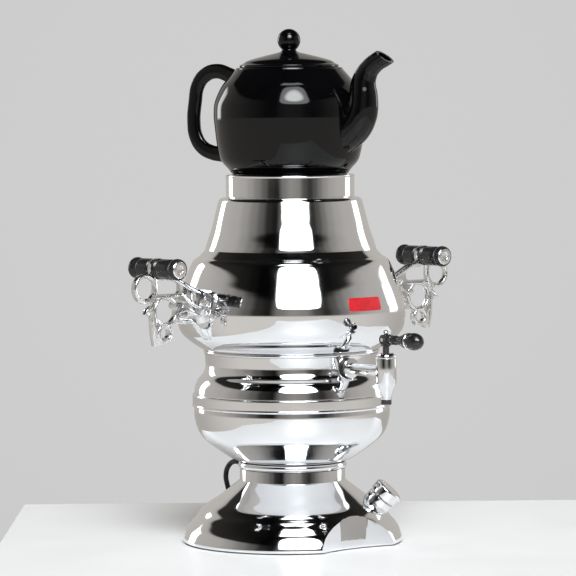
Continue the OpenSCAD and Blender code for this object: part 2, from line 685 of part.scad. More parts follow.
module stem_ball() color("silver") valve() {
    translate([0, 0, stemTop + stem_ball_d / 2 - .4]) intersection() {
        sphere(d = stem_ball_d);
        translate([-5, -5, -stem_ball_d / 2 + .4]) cube(10);
    }
    translate([0, 0, stemTop - 1.8]) cylinder(d = 2, h = 3);
}
slotW = stem_d + .6;            // slot of the fork around the stem
module tap_pin() color("silver") valve() translate([0, 0, zPin]) rotate([0, 90, 0]) {
    translate([0, 0, -lever_d / 2 - .1]) cylinder(d = pin_d, h = lever_d + .2);
    for (s = [0, 1]) mirror([0, 0, s]) translate([0, 0, lever_d / 2 + .1]) cylinder(d = pin_d + 1.4, h = .8);
}
springZ0 = stemBottom + plungerH;
springZ1 = zBonnet - bonnetPlug;
module tap_spring() color("gainsboro") valve() {
    n = spring_turns * 12;
    rise = springZ1 - springZ0 - spring_wire_d - .1;
    path = [for (i = [0 : n]) [spring_d / 2 * cos(30 * i), spring_d / 2 * sin(30 * i),
        springZ0 + spring_wire_d / 2 + .05 + rise * i / n]];
    sweep(path, [for (q = path) round_ring(spring_wire_d / 2, 8)], headings(path), [0, 0, 1]);
}

// the lever's own frame: its pin is the origin and its length lies along +Z, with +Y up
module lever_place() front(valveR, zPin) children();
collarZ = lever_reach;
spigotD = 6;
module tap_lever() color("#151517") lever_place() difference() {
    union() {
        turned([[0, heel], [lever_d / 2 - .8, heel], [lever_d / 2, heel + 2], [lever_d / 2, 17],
            [lever_d / 2 - .6, 19.5], [lever_d / 2 - .6, 20.5], [lever_d / 2, 23], [6.1, 27], [7.4, 30],
            [8.2, collarZ - 2], [8.2, collarZ], [spigotD / 2, collarZ], [spigotD / 2, spigotEnd],
            [0, spigotEnd]]);
        rotate([0, -90, 0]) translate([0, 0, -lever_d / 2]) linear_extrude(lever_d) polygon(concat(
            [[heel + .5, lever_d / 2 - .8], [3, eyeR]], arc([0, 0], eyeR, 90, 180, 8),
            arc([0, 0], eyeR, 195, 255, 4), [[0, -eyeR], [heel, -eyeR], [heel + .5, 1 - lever_d / 2]]));
    }
    translate([-slotW / 2, -10, -10]) cube([slotW, 20, 10 + heel]);
    translate([-10, 0, 0]) rotate([0, 90, 0]) cylinder(d = pin_d + .12, h = 20);
}
spigotEnd = collarZ + lever_ring_t + lever_knob_h - 4.5;
module lever_ring() color("silver") lever_place() translate([0, 0, collarZ]) difference() {
    turned(concat([[0, 0]], arc([8.75 - lever_ring_t / 2, lever_ring_t / 2], lever_ring_t / 2, -90, 90, 8),
        [[0, lever_ring_t]]));
    translate([0, 0, -1]) cylinder(d = spigotD + 2 * fit, h = 10);
}
module lever_knob() color("#151517") lever_place() translate([0, 0, collarZ + lever_ring_t]) difference() {
    turned(concat([[0, 0]], [for (q = spline([[7.2, 0], [8.4, 1.6], [lever_knob_d / 2, lever_knob_h * .42],
        [lever_knob_d / 2 - 1.6, lever_knob_h * .74], [lever_knob_d / 2 - 4.6, lever_knob_h * .93],
        [2.5, lever_knob_h]])) q], [[0, lever_knob_h]]));
    translate([0, 0, -1]) cylinder(d = spigotD + 2 * fit, h = lever_knob_h - 4.4 + 1);
}

// ==== side handles =========================================================================
// The bracket's frame: the grips' axis is the origin, +X points away from the tank and +Z up.
module bracket_place(s) {
    if (s > 0) rotate([0, 0, -handle_swing]) translate([barR, 0, zBar]) children();
    else mirror([1, 0, 0]) rotate([0, 0, -handle_swing]) translate([barR, 0, zBar]) children();
}
shoeTop = -27;
shoeLow = -59;
screwV = -43;
module screw_axes() for (y = [-1, 1])
    translate([-bar_reach + shoe_t, y * bracket_screw_gap / 2, screwV]) rotate([0, 90, 0]) children();

scroll = [17.5, -20];
scrollR = 13.75;
scrollT = 4;
ringC = [-9, -44.5];
ringR = 12.3;
webIn = -bar_reach - 9;
module bracket_outline() difference() {
    union() {
        circle(r = 11.2);
        // outer C-scroll with its ball end
        difference() {
            translate(scroll) circle(r = scrollR + scrollT / 2);
            translate(scroll) circle(r = scrollR - scrollT / 2);
            polygon([scroll, scroll + 30 * [cos(140), sin(140)], scroll + 30 * [cos(195), sin(195)],
                scroll + 30 * [cos(252), sin(252)]]);
        }
        translate(scroll + scrollR * [cos(254), sin(254)]) circle(r = 3);
        // leaf spur and outer strut
        polygon([[6, -36], [12, -38.5], [16, -42], [19.5, -46.5], [14, -47.5], [8, -51]]);
        polygon([[8, -26], [12, -31], [10.4, -40], [10.8, -52], [9.8, -66], [7, -80], [3, -80],
            [3.4, -66], [5, -52], [5.2, -34], [3, -26]]);
        // strut below the eye
        polygon([[2.5, -8], [8, -8], [6.2, -16], [6.4, -22], [10, -30], [2.4, -30], [2.2, -20]]);
        polygon([[-27, -26.5], [8, -26.5], [8, -33], [-27, -33]]);
        // frame of the round opening and the volute under it
        translate(ringC) circle(r = ringR + 4);
        translate([-7, -67]) circle(r = 10.6);
        polygon([[-16, -60], [-15, -72], [-13.5, -77.5], [-5, -77], [2, -80], [7, -80], [8, -60]]);
        translate([-21, -39]) circle(r = 5);
        // web to the tank, with the leaf that rises to the eye
        polygon(concat([[-4, -4]], spline([[-9, -4.5], [-16, -6], [-24, -9], [-34, -14.5], [-46, -20.5],
            [-58, -24.5]]), [[webIn, -26], [webIn, -78], [-66, -77.5]],
            spline([[-62, -75], [-56, -69], [-50, -62.5], [-42, -59], [-32, -59], [-22, -58]]),
            [[-14, -40]]));
    }
    polygon(slot(ringC, ringC + [0, .1], ringR));
    polygon([[-9, ringC[1] - ringR], [3.6, ringC[1] - ringR + 1.5], [5.1, ringC[1] - ringR + 4],
        [5.1, ringC[1] + ringR - 4], [3.6, ringC[1] + ringR - 1.5], [-9, ringC[1] + ringR]]);
    // opening below the eye
    polygon([[-24, -13], [-12, -12.4], [2, -12.4], [1.6, -20], [2, -24], [-.5, -26.5], [-24, -26.5],
        [-27, -24.5], [-27.5, -17]]);
    translate([-7, -67]) circle(r = 5.4);
    polygon(slot([-46, -29], [-48, -35], 2.6));
    polygon(slot([-41, -53.5], [-45.5, -53.5], 2.3));
    translate([-38, -29]) circle(r = 2);
    translate([-34, -38.5]) circle(r = 1.8);
    polygon([[webIn - 1, -59], [-60, -59], [-53, -60], [-58, -65], [webIn - 1, -66]]);
}
module bracket() difference() {
    union() {
        rotate([90, 0, 0]) translate([0, 0, -bracket_t / 2]) linear_extrude(bracket_t) bracket_outline();
        // rosette
        translate([-21, 0, -39]) rotate([90, 0, 0]) translate([0, 0, -bracket_t / 2 - 1.2])
            cylinder(r = 3.6, h = bracket_t + 2.4);
        // shoe on the tank
        translate([-bar_reach - 14, 0, 0]) rotate([90, 0, 90]) linear_extrude(14 + shoe_t) union() {
            translate([-shoe_w / 2, shoeLow + 5]) square([shoe_w, shoeTop - shoeLow - 10]);
            translate([5 - shoe_w / 2, shoeLow]) square([shoe_w - 10, shoeTop - shoeLow]);
            for (x = [-1, 1], z = [shoeLow + 5, shoeTop - 5])
                translate([x * (shoe_w / 2 - 5), z]) circle(r = 5);
        }
    }
    translate([-barR, 0, -zBar]) belly_form(-seat);
    rotate([90, 0, 0]) translate([0, 0, -20]) cylinder(d = rod_d + 2 * fit, h = 40);
    screw_axes() translate([0, 0, -20]) cylinder(d = bracket_screw_d + .3, h = 40);
}
module bracket_left() color("silver") bracket_place(-1) bracket();
module bracket_right() color("silver") bracket_place(1) bracket();

gripIn = bracket_t / 2;
gripOut = grip_l / 2;
capSink = 1.5;
module grip() turned([
    [rod_d / 2 + 2 * fit, gripIn], [grip_d / 2, gripIn], [grip_d / 2 + .4, gripIn + 1],
    [grip_d / 2, gripIn + 1.9],
    [grip_d / 2 - 1.1, gripIn + 2.4], [grip_d / 2, gripIn + 3], [grip_d / 2 + .2, gripIn + 3.9],
    [grip_d / 2 - 1.1, gripIn + 4.5], [grip_d / 2, gripIn + 5.2], [grip_d / 2 + .1, (gripIn + gripOut) / 2],
    [grip_d / 2, gripOut - 11], [grip_d / 2 - 1.1, gripOut - 9.5], [grip_d / 2 - 1.1, gripOut - 8.5],
    [grip_end_d / 2 - .3, gripOut - 6], [grip_end_d / 2, gripOut - 4.5], [grip_end_d / 2, gripOut - 2],
    [grip_end_d / 2 - .8, gripOut], [cap_d / 2 + seat, gripOut], [cap_d / 2 + seat, gripOut - capSink],
    [rod_d / 2 + 2 * fit, gripOut - capSink]]);
module both_ways() {
    rotate([90, 0, 0]) children();
    rotate([-90, 0, 0]) children();
}
module grips(s) color("#151517") bracket_place(s) both_ways() grip();
module grips_left() grips(-1);
module grips_right() grips(1);
module rod(s) color("gray") bracket_place(s) rotate([90, 0, 0])
    translate([0, 0, -(gripOut - capSink + 1)]) cylinder(d = rod_d, h = 2 * (gripOut - capSink + 1));
module rod_left() rod(-1);
module rod_right() rod(1);
module caps(s) color("silver") bracket_place(s) both_ways()
    translate([0, 0, gripOut - capSink]) difference() {
        turned([[0, 0], [cap_d / 2, 0], [cap_d / 2, cap_t - .8], [cap_d / 2 - .8, cap_t], [4.2, cap_t],
            [3.8, cap_t - .6], [0, cap_t - .6]]);
        translate([0, 0, -1]) cylinder(d = rod_d + 2 * fit, h = 2.1);
        translate([-3, -.5, cap_t - 1.1]) cube([6, 1, 2]);
    }
module caps_left() caps(-1);
module caps_right() caps(1);
module bracket_screws() color("silver") for (s = [-1, 1]) bracket_place(s) screw_axes() difference() {
    union() {
        translate([0, 0, -13]) cylinder(d = bracket_screw_d, h = 14);
        turned([[0, 0], [bracket_screw_d * .9, 0], [bracket_screw_d * .9, .9], [bracket_screw_d * .6, 2.1],
            [0, 2.2]]);
    }
    for (a = [0, 90]) rotate([0, 0, a]) translate([-2, -.4, 1.2]) cube([4, .8, 2]);
}
// the nuts' outer corners meet the inside of the belly, which falls away from them up, down and sideways
nutR = bracket_screw_d * 1.75 / cos(30) / 2;
function bellyAt(z) = lookup(z, [for (q = bellyLine) [q[1], q[0]]]);
nutWall = min(bellyAt(zBar + screwV - nutR), bellyAt(zBar + screwV + nutR)) - shell_wall;
nutSeat = sqrt(pow(nutWall, 2) - pow(bracket_screw_gap / 2 + nutR, 2)) - bellyR - shoe_t - seat;
module bracket_nuts() color("silver") for (s = [-1, 1]) bracket_place(s) screw_axes() difference() {
    translate([0, 0, nutSeat - 3]) hexagon(bracket_screw_d * 1.75, 3);
    translate([0, 0, nutSeat - 5]) cylinder(d = bracket_screw_d + 2 * fit, h = 10);
}

// ==== crown ================================================================================
crownIn = crownR - crown_wall;
skirtR = mouthR - 1.1;
module crown_ring() color("silver") difference() {
    turned(concat(
        [[skirtR - 1.2, zTop - skirt_h], [skirtR, zTop - skirt_h], [skirtR, zTop], [crownR - 2.3, zTop],
         [crownR - 2.3, zTop + .8], [crownR, zTop + .8]],
        arc([crownR - .75, zTop + crown_h - 1.1], 1.1, -30, 210, 12),
        [[crownIn, zPot], [seat_hole_d / 2, zPot], [seat_hole_d / 2, zPot - 1.5], [crownIn, zPot - 1.5],
         [crownIn, zTop + 1.5], [skirtR - 1.2, zTop + 1.5]]));
    for (a = [15 : 30 : 345]) rotate([0, 0, a])
        translate([seat_hole_d / 2 + 4, 0, zPot - 5]) cylinder(d = steam_hole_d, h = 10);
}

// ==== teapot ===============================================================================
potR = pot_d / 2;
potFootR = pot_foot_d / 2;
potRimR = pot_rim_d / 2;
potMouthR = pot_mouth_d / 2;
potLine = concat(
    spline(within(potFootR, potR, zPot + 6, zPotBelly, [[.05, 0], [.25, .09], [.54, .2], [.69, .31],
        [.86, .58], [1, 1]])),
    [for (i = [1 : 12]) spline(within(potRimR, potR, zPotBelly, zRim - 1.5, [[1, 0], [.955, .31], [.66, .635],
        [.34, .82], [0, 1]]))[i]]);
potHollow = [for (q = inset(potLine, pot_wall)) if (q[1] > zPot + 9 && q[1] < zRim - pot_wall - 3) q];
potFloor = zPot + 8;
module pot_hollow() turned(concat([[0, potFloor], [potHollow[0][0] - 3, potFloor]], potHollow,
    [[potMouthR, zRim - pot_wall - 1], [potMouthR, zRim + 1], [0, zRim + 1]]));
module pot_outside() turned(concat([[0, zPot + 6]], potLine, [[0, zRim - 1.5]]));

// side curves in the teapot's own plane: [out past the belly, up from the belly]
strapPath = [[-17, 38], [-3, 46], [12, 50], [27, 46], [37, 35], [41, 17], [43, -4], [40, -21], [32, -32],
    [19, -38], [7, -39.5], [-7, -40]];
spoutPath = [[-12, -18, 20], [3, -7, 18.5], [10, 7, 17], [11.5, 21, 15.6], [12, 36, 13.3], [20, 51, 10.4],
    [38.5, 63, 10.2]];
mouthTilt = 55;
function in_plane(q, way) = [0, way * (potR + q[0]), zPotBelly + q[1]];
function strap_ring(n) = [for (j = [0 : n - 1]) let (c = cos(360 * j / n), s = sin(360 * j / n))
    [pot_strap_w / 2 * sign(c) * pow(abs(c), .6), pot_strap_t / 2 * sign(s) * pow(abs(s), .6)]];
module strap() {
    p = spline(strapPath, 3);
    path = [for (q = p) in_plane(q, 1)];
    sweep(path, [for (q = path) strap_ring(16)], headings(path), [1, 0, 0]);
}
module spout(w, past = 0) {
    p = spline(spoutPath, 3);
    path = [for (q = p) in_plane(q, -1)];
    m = len(path) - 1;
    ds = [for (i = [0 : m]) i == m ? [0, -cos(mouthTilt), sin(mouthTilt)] : headings(path)[i]];
    tip = past > 0 ? [path[m] + past * ds[m]] : [];
    rings = [for (q = p) round_ring(q[2] - w, 20)];
    sweep(concat(path, tip), concat(rings, past > 0 ? [rings[m]] : []), concat(ds, past > 0 ? [ds[m]] : []),
        [1, 0, 0]);
}
module teapot_body() color("#101012") rotate([0, 0, pot_turn]) difference() {
    union() {
        turned(concat([[0, zPot + 3], [potFootR - 6, zPot + 3], [potFootR - 5.4, zPot]],
            [[potFootR - .8, zPot], [potFootR, zPot + .8], [potFootR, zPot + 5.2]], potLine,
            [[potRimR - .6, zRim - .4], [potRimR - 1.6, zRim], [0, zRim]]));
        strap();
        spout(0);
    }
    pot_hollow();
    difference() {
        spout(spout_wall, 2);
        pot_outside();
    }
    strainer();
}
module strainer() for (a = [0 : 6]) {
    r = a == 6 ? 0 : 8.5;
    translate([0, -potR + 16, zPotBelly - 15]) rotate([90 - 12, 0, 0])
        translate([r * cos(a * 60), r * sin(a * 60), 0]) cylinder(d = strainer_d, h = 18);
}

lidR = lid_d / 2;
lidSkirtR = potMouthR - 1.5;
zDome = zRim + lid_t;
ballR = lid_ball_d / 2;
zBall = zDome + dome_h + 13;
lidNeckR = 7.5;
ballFoot = -acos(lidNeckR / ballR);
module teapot_lid() color("#101012") rotate([0, 0, pot_turn]) difference() {
    turned(concat(
        [[lidSkirtR - 3.2, zRim - lid_skirt_h], [lidSkirtR, zRim - lid_skirt_h], [lidSkirtR, zRim],
         [lidR - .8, zRim], [lidR, zRim + .8], [lidR, zDome - .8], [lidR - 1, zDome]],
        spline(within(12, lidR - 4, zDome, zDome + dome_h, [[1, .12], [.86, .36], [.5, .66], [0, 1]])),
        [[lidNeckR + .8, zDome + dome_h + 1.2]],
        arc([0, zBall], ballR, ballFoot, 90, 16),
        [[0, zDome + dome_h - 4.5]],
        back(spline(within(12, lidSkirtR - 3.2, zRim, zDome + dome_h - 5, [[1, 0], [.86, .42], [.5, .72],
            [0, 1]])))));
    translate([0, 24, zRim - 2]) cylinder(d = 3, h = 30);
}

// ==== mains cord ===========================================================================
// The cord's centre line: from the terminal block to the strain relief, in a loop down to the table, and
// along it to the coil. Then the free end, from the coil to the plug.
cordRoute = [[0, 48, 20], [0, 50, 30], [0, 55, 44], [0, 61, 54], [0, 66, 59], [0, 77, 70], [0, 87.5, 76.5],
    [0.5, 100.5, 77.5], [1.5, 112, 71], [3.5, 118.5, 60], [8, 121.5, 49], [13, 124, 38], [17, 127.5, 27],
    [21, 132.5, 17], [26, 139.5, 9], [32, 148, 4.5], [39, 156.5, 3], [48, 163.5, 3], [59, 168.5, 3],
    [71, 170.5, 3], [90, 170, 3]];
tailRoute = [[94.5, 171.5, 9.2], [105, 183.5, 13], [116, 192.5, 16.5], [129, 197.5, 19.2], [137, 199, 19.2]];
coilC = [111, 133];             // centre of the coil on the table
coilIn = 23;
coilOut = 40;
coilH = 11.6;
tieT = 0.8;
plugAt = [129, 197.5, 19.2];    // where the cord enters the plug
plugWay = 10;                   // the plug's heading on the table

gland_seat = 66;
gland_tilt = 45;
glandD = cord_d + 5.4;
glandZ = lookup(gland_seat, footCurve);
module gland_place() rotate([0, 0, 180]) translate([0, -gland_seat, glandZ]) rotate([90 - gland_tilt, 0, 0])
    children();
module strain_relief() color("#1a1a1a") difference() {
    union() {
        difference() {
            gland_place() turned([[0, -8], [glandD / 2 + 2.2, -8], [glandD / 2 + 2.2, 2],
                [glandD / 2, 3], [cord_d / 2 + 1.5, gland_l], [0, gland_l]]);
            foot_form(-seat);
        }
        gland_place() translate([0, 0, -8]) cylinder(d = glandD, h = 10);
    }
    gland_place() translate([0, 0, -10]) cylinder(d = cord_d + .3, h = gland_l + 20);
}
module mains_cord() color("#181818") {
    hose(cordRoute, cord_d, 10);
    hose(tailRoute, cord_d, 10, [0, 0, 1]);
}
module cord_coil() color("#181818") translate([coilC[0], coilC[1], tieT]) rotate_extrude()
    polygon(concat(arc([coilIn + 2.5, 2.5], 2.5, 180, 270, 5), arc([coilOut - 2.5, 2.5], 2.5, 270, 360, 5),
        arc([coilOut - 2.5, coilH - 2.5], 2.5, 0, 90, 5), arc([coilIn + 2.5, coilH - 2.5], 2.5, 90, 180, 5)));
module cord_tie() color("#2a2a2a") translate([coilC[0], coilC[1], 0]) rotate([0, 0, 230]) difference() {
    translate([coilIn - 1.2, -3.5, 0]) cube([coilOut - coilIn + 2.4, 7, coilH + 2 * tieT + .1]);
    translate([coilIn - .6, -5, tieT]) cube([coilOut - coilIn + 1.2, 10, coilH + .1]);
}
module mains_plug() color("#1c1c1e")
    translate(plugAt) rotate([0, 90, plugWay]) {
        difference() {
            turned([[0, 9], [cord_d / 2 + .15, 9], [cord_d / 2 + .15, 0], [5, 0], [6.5, 10], [12.5, 16],
                [15, 24],
                [19, 29], [19, 42], [0, 42]]);
            for (s = [0, 180]) rotate([0, 0, s]) translate([-3, 16, 30]) cube([6, 5, 14]);
        }
        for (x = [-9.5, 9.5]) translate([x, 0, 40]) cylinder(d = 4.8, h = 21);
    }

foot_shell();
base_plate();
rubber_feet();
base_screws();
neck_bead();
lower_bowl();
band_ring();
tie_rod();
tie_nut();
tank_waist();
tank_floor();
seam_bead();
tank_upper();
name_plate();
heater();
heater_bushes();
heater_nuts();
thermostat();
thermostat_bulb();
safety_cutout();
terminal_block();
wiring();
knob_bezel();
knob_shaft();
knob();
tap_pipe();
tap_gaskets();
tap_lock_nut();
tap_body();
nozzle_tip();
tap_bonnet();
tap_collar();
tap_stem();
tap_seal();
stem_ball();
tap_pin();
tap_spring();
tap_lever();
lever_ring();
lever_knob();
bracket_left();
bracket_right();
grips_left();
grips_right();
rod_left();
rod_right();
caps_left();
caps_right();
bracket_screws();
bracket_nuts();
crown_ring();
teapot_body();
teapot_lid();
strain_relief();
mains_cord();
cord_coil();
cord_tie();
mains_plug();
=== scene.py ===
import math

import bpy
from mathutils import Matrix, Quaternion, Vector


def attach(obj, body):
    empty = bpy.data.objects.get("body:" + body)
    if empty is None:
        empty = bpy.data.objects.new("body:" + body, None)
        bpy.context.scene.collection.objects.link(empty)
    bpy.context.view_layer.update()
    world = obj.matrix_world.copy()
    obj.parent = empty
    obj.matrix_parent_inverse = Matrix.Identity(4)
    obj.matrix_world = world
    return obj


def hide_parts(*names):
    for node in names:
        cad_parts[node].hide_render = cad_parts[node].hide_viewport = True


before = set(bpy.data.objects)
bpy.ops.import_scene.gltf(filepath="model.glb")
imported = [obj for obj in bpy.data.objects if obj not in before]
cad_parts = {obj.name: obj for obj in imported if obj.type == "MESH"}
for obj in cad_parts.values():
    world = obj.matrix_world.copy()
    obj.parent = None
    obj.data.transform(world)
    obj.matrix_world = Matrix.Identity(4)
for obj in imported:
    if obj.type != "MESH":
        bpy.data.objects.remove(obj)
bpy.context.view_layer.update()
print("stage: frame loaded")

# Outlines are in millimetres, as (distance from the axis, height), and the helpers turn them into metres.
mm = 0.001


def selectOnly(*chosen):
    if bpy.context.object and bpy.context.object.mode != "OBJECT":
        bpy.ops.object.mode_set(mode="OBJECT")
    bpy.ops.object.select_all(action="DESELECT")
    for piece in chosen:
        piece.select_set(True)
    if chosen:
        bpy.context.view_layer.objects.active = chosen[0]


# a smooth line through the points, with parts steps from each to the next
def through(points, parts=4):
    ends = [points[0]] + list(points) + [points[-1]]
    line = []
    for before, here, there, after in zip(ends, ends[1:], ends[2:], ends[3:]):
        for k in range(parts):
            t = k / parts
            line.append(tuple(
                0.5 * (2 * b + (c - a) * t + (2 * a - 5 * b + 4 * c - d) * t * t
                       + (3 * b - a - 3 * c + d) * t ** 3)
                for a, b, c, d in zip(before, here, there, after)))
    line.append(tuple(points[-1]))
    return line


# fractions of a width and of a height, turned into (radius, height)
def within(inner, outer, low, high, shares):
    return [(inner + (outer - inner) * across, low + (high - low) * up) for across, up in shares]


def arc(centre, radius, first, last, parts=8):
    angles = [math.radians(first + (last - first) * k / parts) for k in range(parts + 1)]
    return [(centre[0] + radius * math.cos(a), centre[1] + radius * math.sin(a)) for a in angles]


# the outline moved inwards by a wall's thickness, and back to its start
def walled(outline, wall):
    inner = []
    for k, (r, z) in enumerate(outline):
        ahead = outline[min(k + 1, len(outline) - 1)]
        behind = outline[max(k - 1, 0)]
        along = Vector((ahead[0] - behind[0], ahead[1] - behind[1])).normalized()
        inner.append((max(r - wall * along.y, 0), z + wall * along.x))
    return list(outline) + inner[::-1] + [outline[0]]


def cleanMesh():
    bpy.ops.object.mode_set(mode="EDIT")
    bpy.ops.mesh.select_all(action="SELECT")
    bpy.ops.mesh.remove_doubles(threshold=0.02 * mm)
    bpy.ops.mesh.normals_make_consistent(inside=False)
    bpy.ops.object.mode_set(mode="OBJECT")


def settle(piece, place=None):
    if place is not None:
        piece.matrix_world = place
    selectOnly(piece)
    bpy.ops.object.transform_apply(location=True, rotation=True, scale=True)
    return piece


# an outline drawn point by point from a single vertex, then spun round the upright axis
def turned(name, outline, steps=160, place=None):
    selectOnly()
    bpy.ops.mesh.primitive_plane_add(size=mm)
    piece = bpy.context.object
    piece.name = name
    bpy.ops.object.mode_set(mode="EDIT")
    bpy.ops.mesh.select_mode(type="VERT")
    bpy.ops.mesh.merge(type="CENTER")
    at = Vector((0, 0, 0))
    for k, (r, z) in enumerate(outline):
        step = Vector((r * mm, 0, z * mm)) - at
        at += step
        if k == 0:
            bpy.ops.transform.translate(value=step)
        else:
            bpy.ops.mesh.extrude_vertices_move(TRANSFORM_OT_translate={"value": step})
    bpy.ops.mesh.select_all(action="SELECT")
    bpy.ops.mesh.spin(steps=steps, angle=2 * math.pi, center=(0, 0, 0), axis=(0, 0, 1), use_auto_merge=True)
    bpy.ops.object.mode_set(mode="OBJECT")
    cleanMesh()
    return settle(piece, place)


# a round tube along given points (x, y, z, radius), closed at its ends
def tube(name, points, sides=8, smooth=8, closed=False):
    selectOnly()
    bpy.ops.curve.primitive_bezier_curve_add()
    path = bpy.context.object
    path.name = name
    line = path.data.splines[0]
    line.bezier_points.add(len(points) - 2)
    for knot, (x, y, z, radius) in zip(line.bezier_points, points):
        knot.co = (x * mm, y * mm, z * mm)
        knot.radius = radius
        knot.handle_left_type = "AUTO"
        knot.handle_right_type = "AUTO"
    line.use_cyclic_u = closed
    path.data.dimensions = "3D"
    path.data.resolution_u = smooth
    path.data.bevel_depth = mm
    path.data.bevel_resolution = sides
    path.data.use_fill_caps = True
    return path


def asMesh(path, place=None):
    selectOnly(path)
    bpy.ops.object.convert(target="MESH")
    piece = bpy.context.object
    cleanMesh()
    return settle(piece, place)


def join(name, *parts):
    selectOnly(*parts)
    bpy.ops.object.join()
    piece = bpy.context.object
    piece.name = name
    return piece


def applied(piece, kind, **values):
    modifier = piece.modifiers.new(kind.lower(), kind)
    for key, value in values.items():
        setattr(modifier, key, value)
    selectOnly(piece)
    bpy.ops.object.modifier_apply(modifier=modifier.name)
    return piece


def minus(piece, tool):
    applied(piece, "BOOLEAN", operation="DIFFERENCE", object=tool, solver="EXACT")
    bpy.data.objects.remove(tool)
    return piece


# a copy of a CAD node's mesh, its loose triangles joined up
def copyOf(node, name):
    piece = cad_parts[node].copy()
    piece.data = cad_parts[node].data.copy()
    piece.name = name
    for key in list(piece.keys()):
        del piece[key]
    bpy.context.scene.collection.objects.link(piece)
    piece.parent = None
    piece.matrix_world = Matrix.Identity(4)
    selectOnly(piece)
    bpy.ops.object.mode_set(mode="EDIT")
    bpy.ops.mesh.select_all(action="SELECT")
    bpy.ops.mesh.remove_doubles(threshold=0.005 * mm)
    bpy.ops.mesh.customdata_custom_splitnormals_clear()
    bpy.ops.mesh.dissolve_limited(angle_limit=math.radians(1))
    bpy.ops.object.mode_set(mode="OBJECT")
    return piece


def shift(x, y, z):
    return Matrix.Translation(Vector((x, y, z)) * mm)


def spun(degrees, axis):
    return Matrix.Rotation(math.radians(degrees), 4, axis)


camera = {
    "azimuth": -40,
    "distance": 3.674,
    "height": 0.486,
    "lens": 214.6,
    "aimHeight": 0.2722,
    "aimLeft": 0.0032,
    "lean": -0.48,
}
away = Vector((math.sin(math.radians(camera["azimuth"])), -math.cos(math.radians(camera["azimuth"])), 0))
right = Vector((-away.y, away.x, 0))


def addCamera():
    selectOnly()
    bpy.ops.object.camera_add(location=away * camera["distance"] + Vector((0, 0, camera["height"])))
    eye = bpy.context.object
    aim = Vector((0, 0, camera["aimHeight"])) - right * camera["aimLeft"]
    turn = (aim - eye.location).to_track_quat("-Z", "Y")
    eye.rotation_mode = "QUATERNION"
    eye.rotation_quaternion = turn @ Quaternion((0, 0, 1), math.radians(camera["lean"]))
    eye.data.lens = camera["lens"]
    eye.data.sensor_width = 36
    eye.data.clip_start = 0.05
    eye.data.clip_end = 50
    bpy.context.scene.camera = eye


addCamera()


# Every finish has its colour, a second colour in patches, a roughness that wanders between two values,
# and a fine relief. Grain is how many features lie in a metre.
finishes = {}


class Finish:
    def __init__(self, name, slot, colour, patches, grain, roughness, relief, depth,
                 metal=0, coat=0, level=0.5):
        material = bpy.data.materials.new(name)
        material.use_nodes = True
        self.tree = material.node_tree
        self.shader = self.tree.nodes["Principled BSDF"]
        self.place = self.tree.nodes.new("ShaderNodeTexCoord").outputs["Object"]
        self.material = material
        self.slot = slot
        wander = self.noise(grain, 3)
        self.shader.inputs["Metallic"].default_value = metal
        self.shader.inputs["Coat Weight"].default_value = coat
        self.shader.inputs["Coat Roughness"].default_value = 0.04
        self.shader.inputs["Specular IOR Level"].default_value = level
        self.link(self.mix(wander, colour, patches), self.shader.inputs["Base Color"])
        self.link(self.between(self.noise(grain * 2.7, 4), *roughness), self.shader.inputs["Roughness"])
        bump = self.tree.nodes.new("ShaderNodeBump")
        bump.inputs["Distance"].default_value = depth
        bump.inputs["Strength"].default_value = 1
        self.link(self.noise(relief, 2), bump.inputs["Height"])
        self.link(bump.outputs["Normal"], self.shader.inputs["Normal"])
        finishes[name] = self

    def link(self, start, end):
        self.tree.links.new(start, end)

    def noise(self, scale, detail):
        node = self.tree.nodes.new("ShaderNodeTexNoise")
        node.inputs["Scale"].default_value = scale
        node.inputs["Detail"].default_value = detail
        self.link(self.place, node.inputs["Vector"])
        return node.outputs["Fac"]

    def between(self, value, low, high):
        node = self.tree.nodes.new("ShaderNodeMapRange")
        node.inputs["From Min"].default_value = 0.3
        node.inputs["From Max"].default_value = 0.7
        node.inputs["To Min"].default_value = low
        node.inputs["To Max"].default_value = high
        self.link(value, node.inputs["Value"])
        return node.outputs["Result"]

    def mix(self, value, first, second):
        node = self.tree.nodes.new("ShaderNodeValToRGB")
        node.color_ramp.elements[0].position = 0.35
        node.color_ramp.elements[0].color = (*first, 1)
        node.color_ramp.elements[1].position = 0.68
        node.color_ramp.elements[1].color = (*second, 1)
        self.link(value, node.inputs["Fac"])
        return node.outputs["Color"]


Finish("mirror chrome", "chrome_shell", (0.84, 0.85, 0.865), (0.81, 0.82, 0.84), 9,
       (0.035, 0.075), 14, 0.00022, metal=1)
Finish("fitting chrome", "chrome_fittings", (0.82, 0.83, 0.84), (0.76, 0.77, 0.78), 60,
       (0.05, 0.12), 120, 0.00004, metal=1)
Finish("cast chrome", "chrome_cast", (0.84, 0.85, 0.86), (0.7, 0.71, 0.72), 140,
       (0.07, 0.2), 260, 0.00012, metal=1)
Finish("satin steel", "steel", (0.48, 0.48, 0.49), (0.36, 0.36, 0.37), 70,
       (0.25, 0.42), 900, 0.00003, metal=1)
Finish("satin brass", "brass", (0.68, 0.46, 0.18), (0.5, 0.32, 0.12), 60,
       (0.25, 0.4), 700, 0.00003, metal=1)
Finish("black handle", "black_handles", (0.010, 0.010, 0.011), (0.016, 0.016, 0.017), 45,
       (0.16, 0.3), 500, 0.00003)
Finish("black fitting", "black_fittings", (0.020, 0.020, 0.022), (0.03, 0.03, 0.032), 60,
       (0.3, 0.42), 900, 0.00003)
Finish("black glaze", "black_porcelain", (0.0012, 0.0012, 0.0015), (0.0022, 0.0022, 0.0026), 18,
       (0.03, 0.08), 30, 0.00012, level=0.3)
Finish("red enamel", "red_plate", (0.52, 0.012, 0.022), (0.44, 0.008, 0.016), 90,
       (0.22, 0.34), 800, 0.00002, coat=0.3)
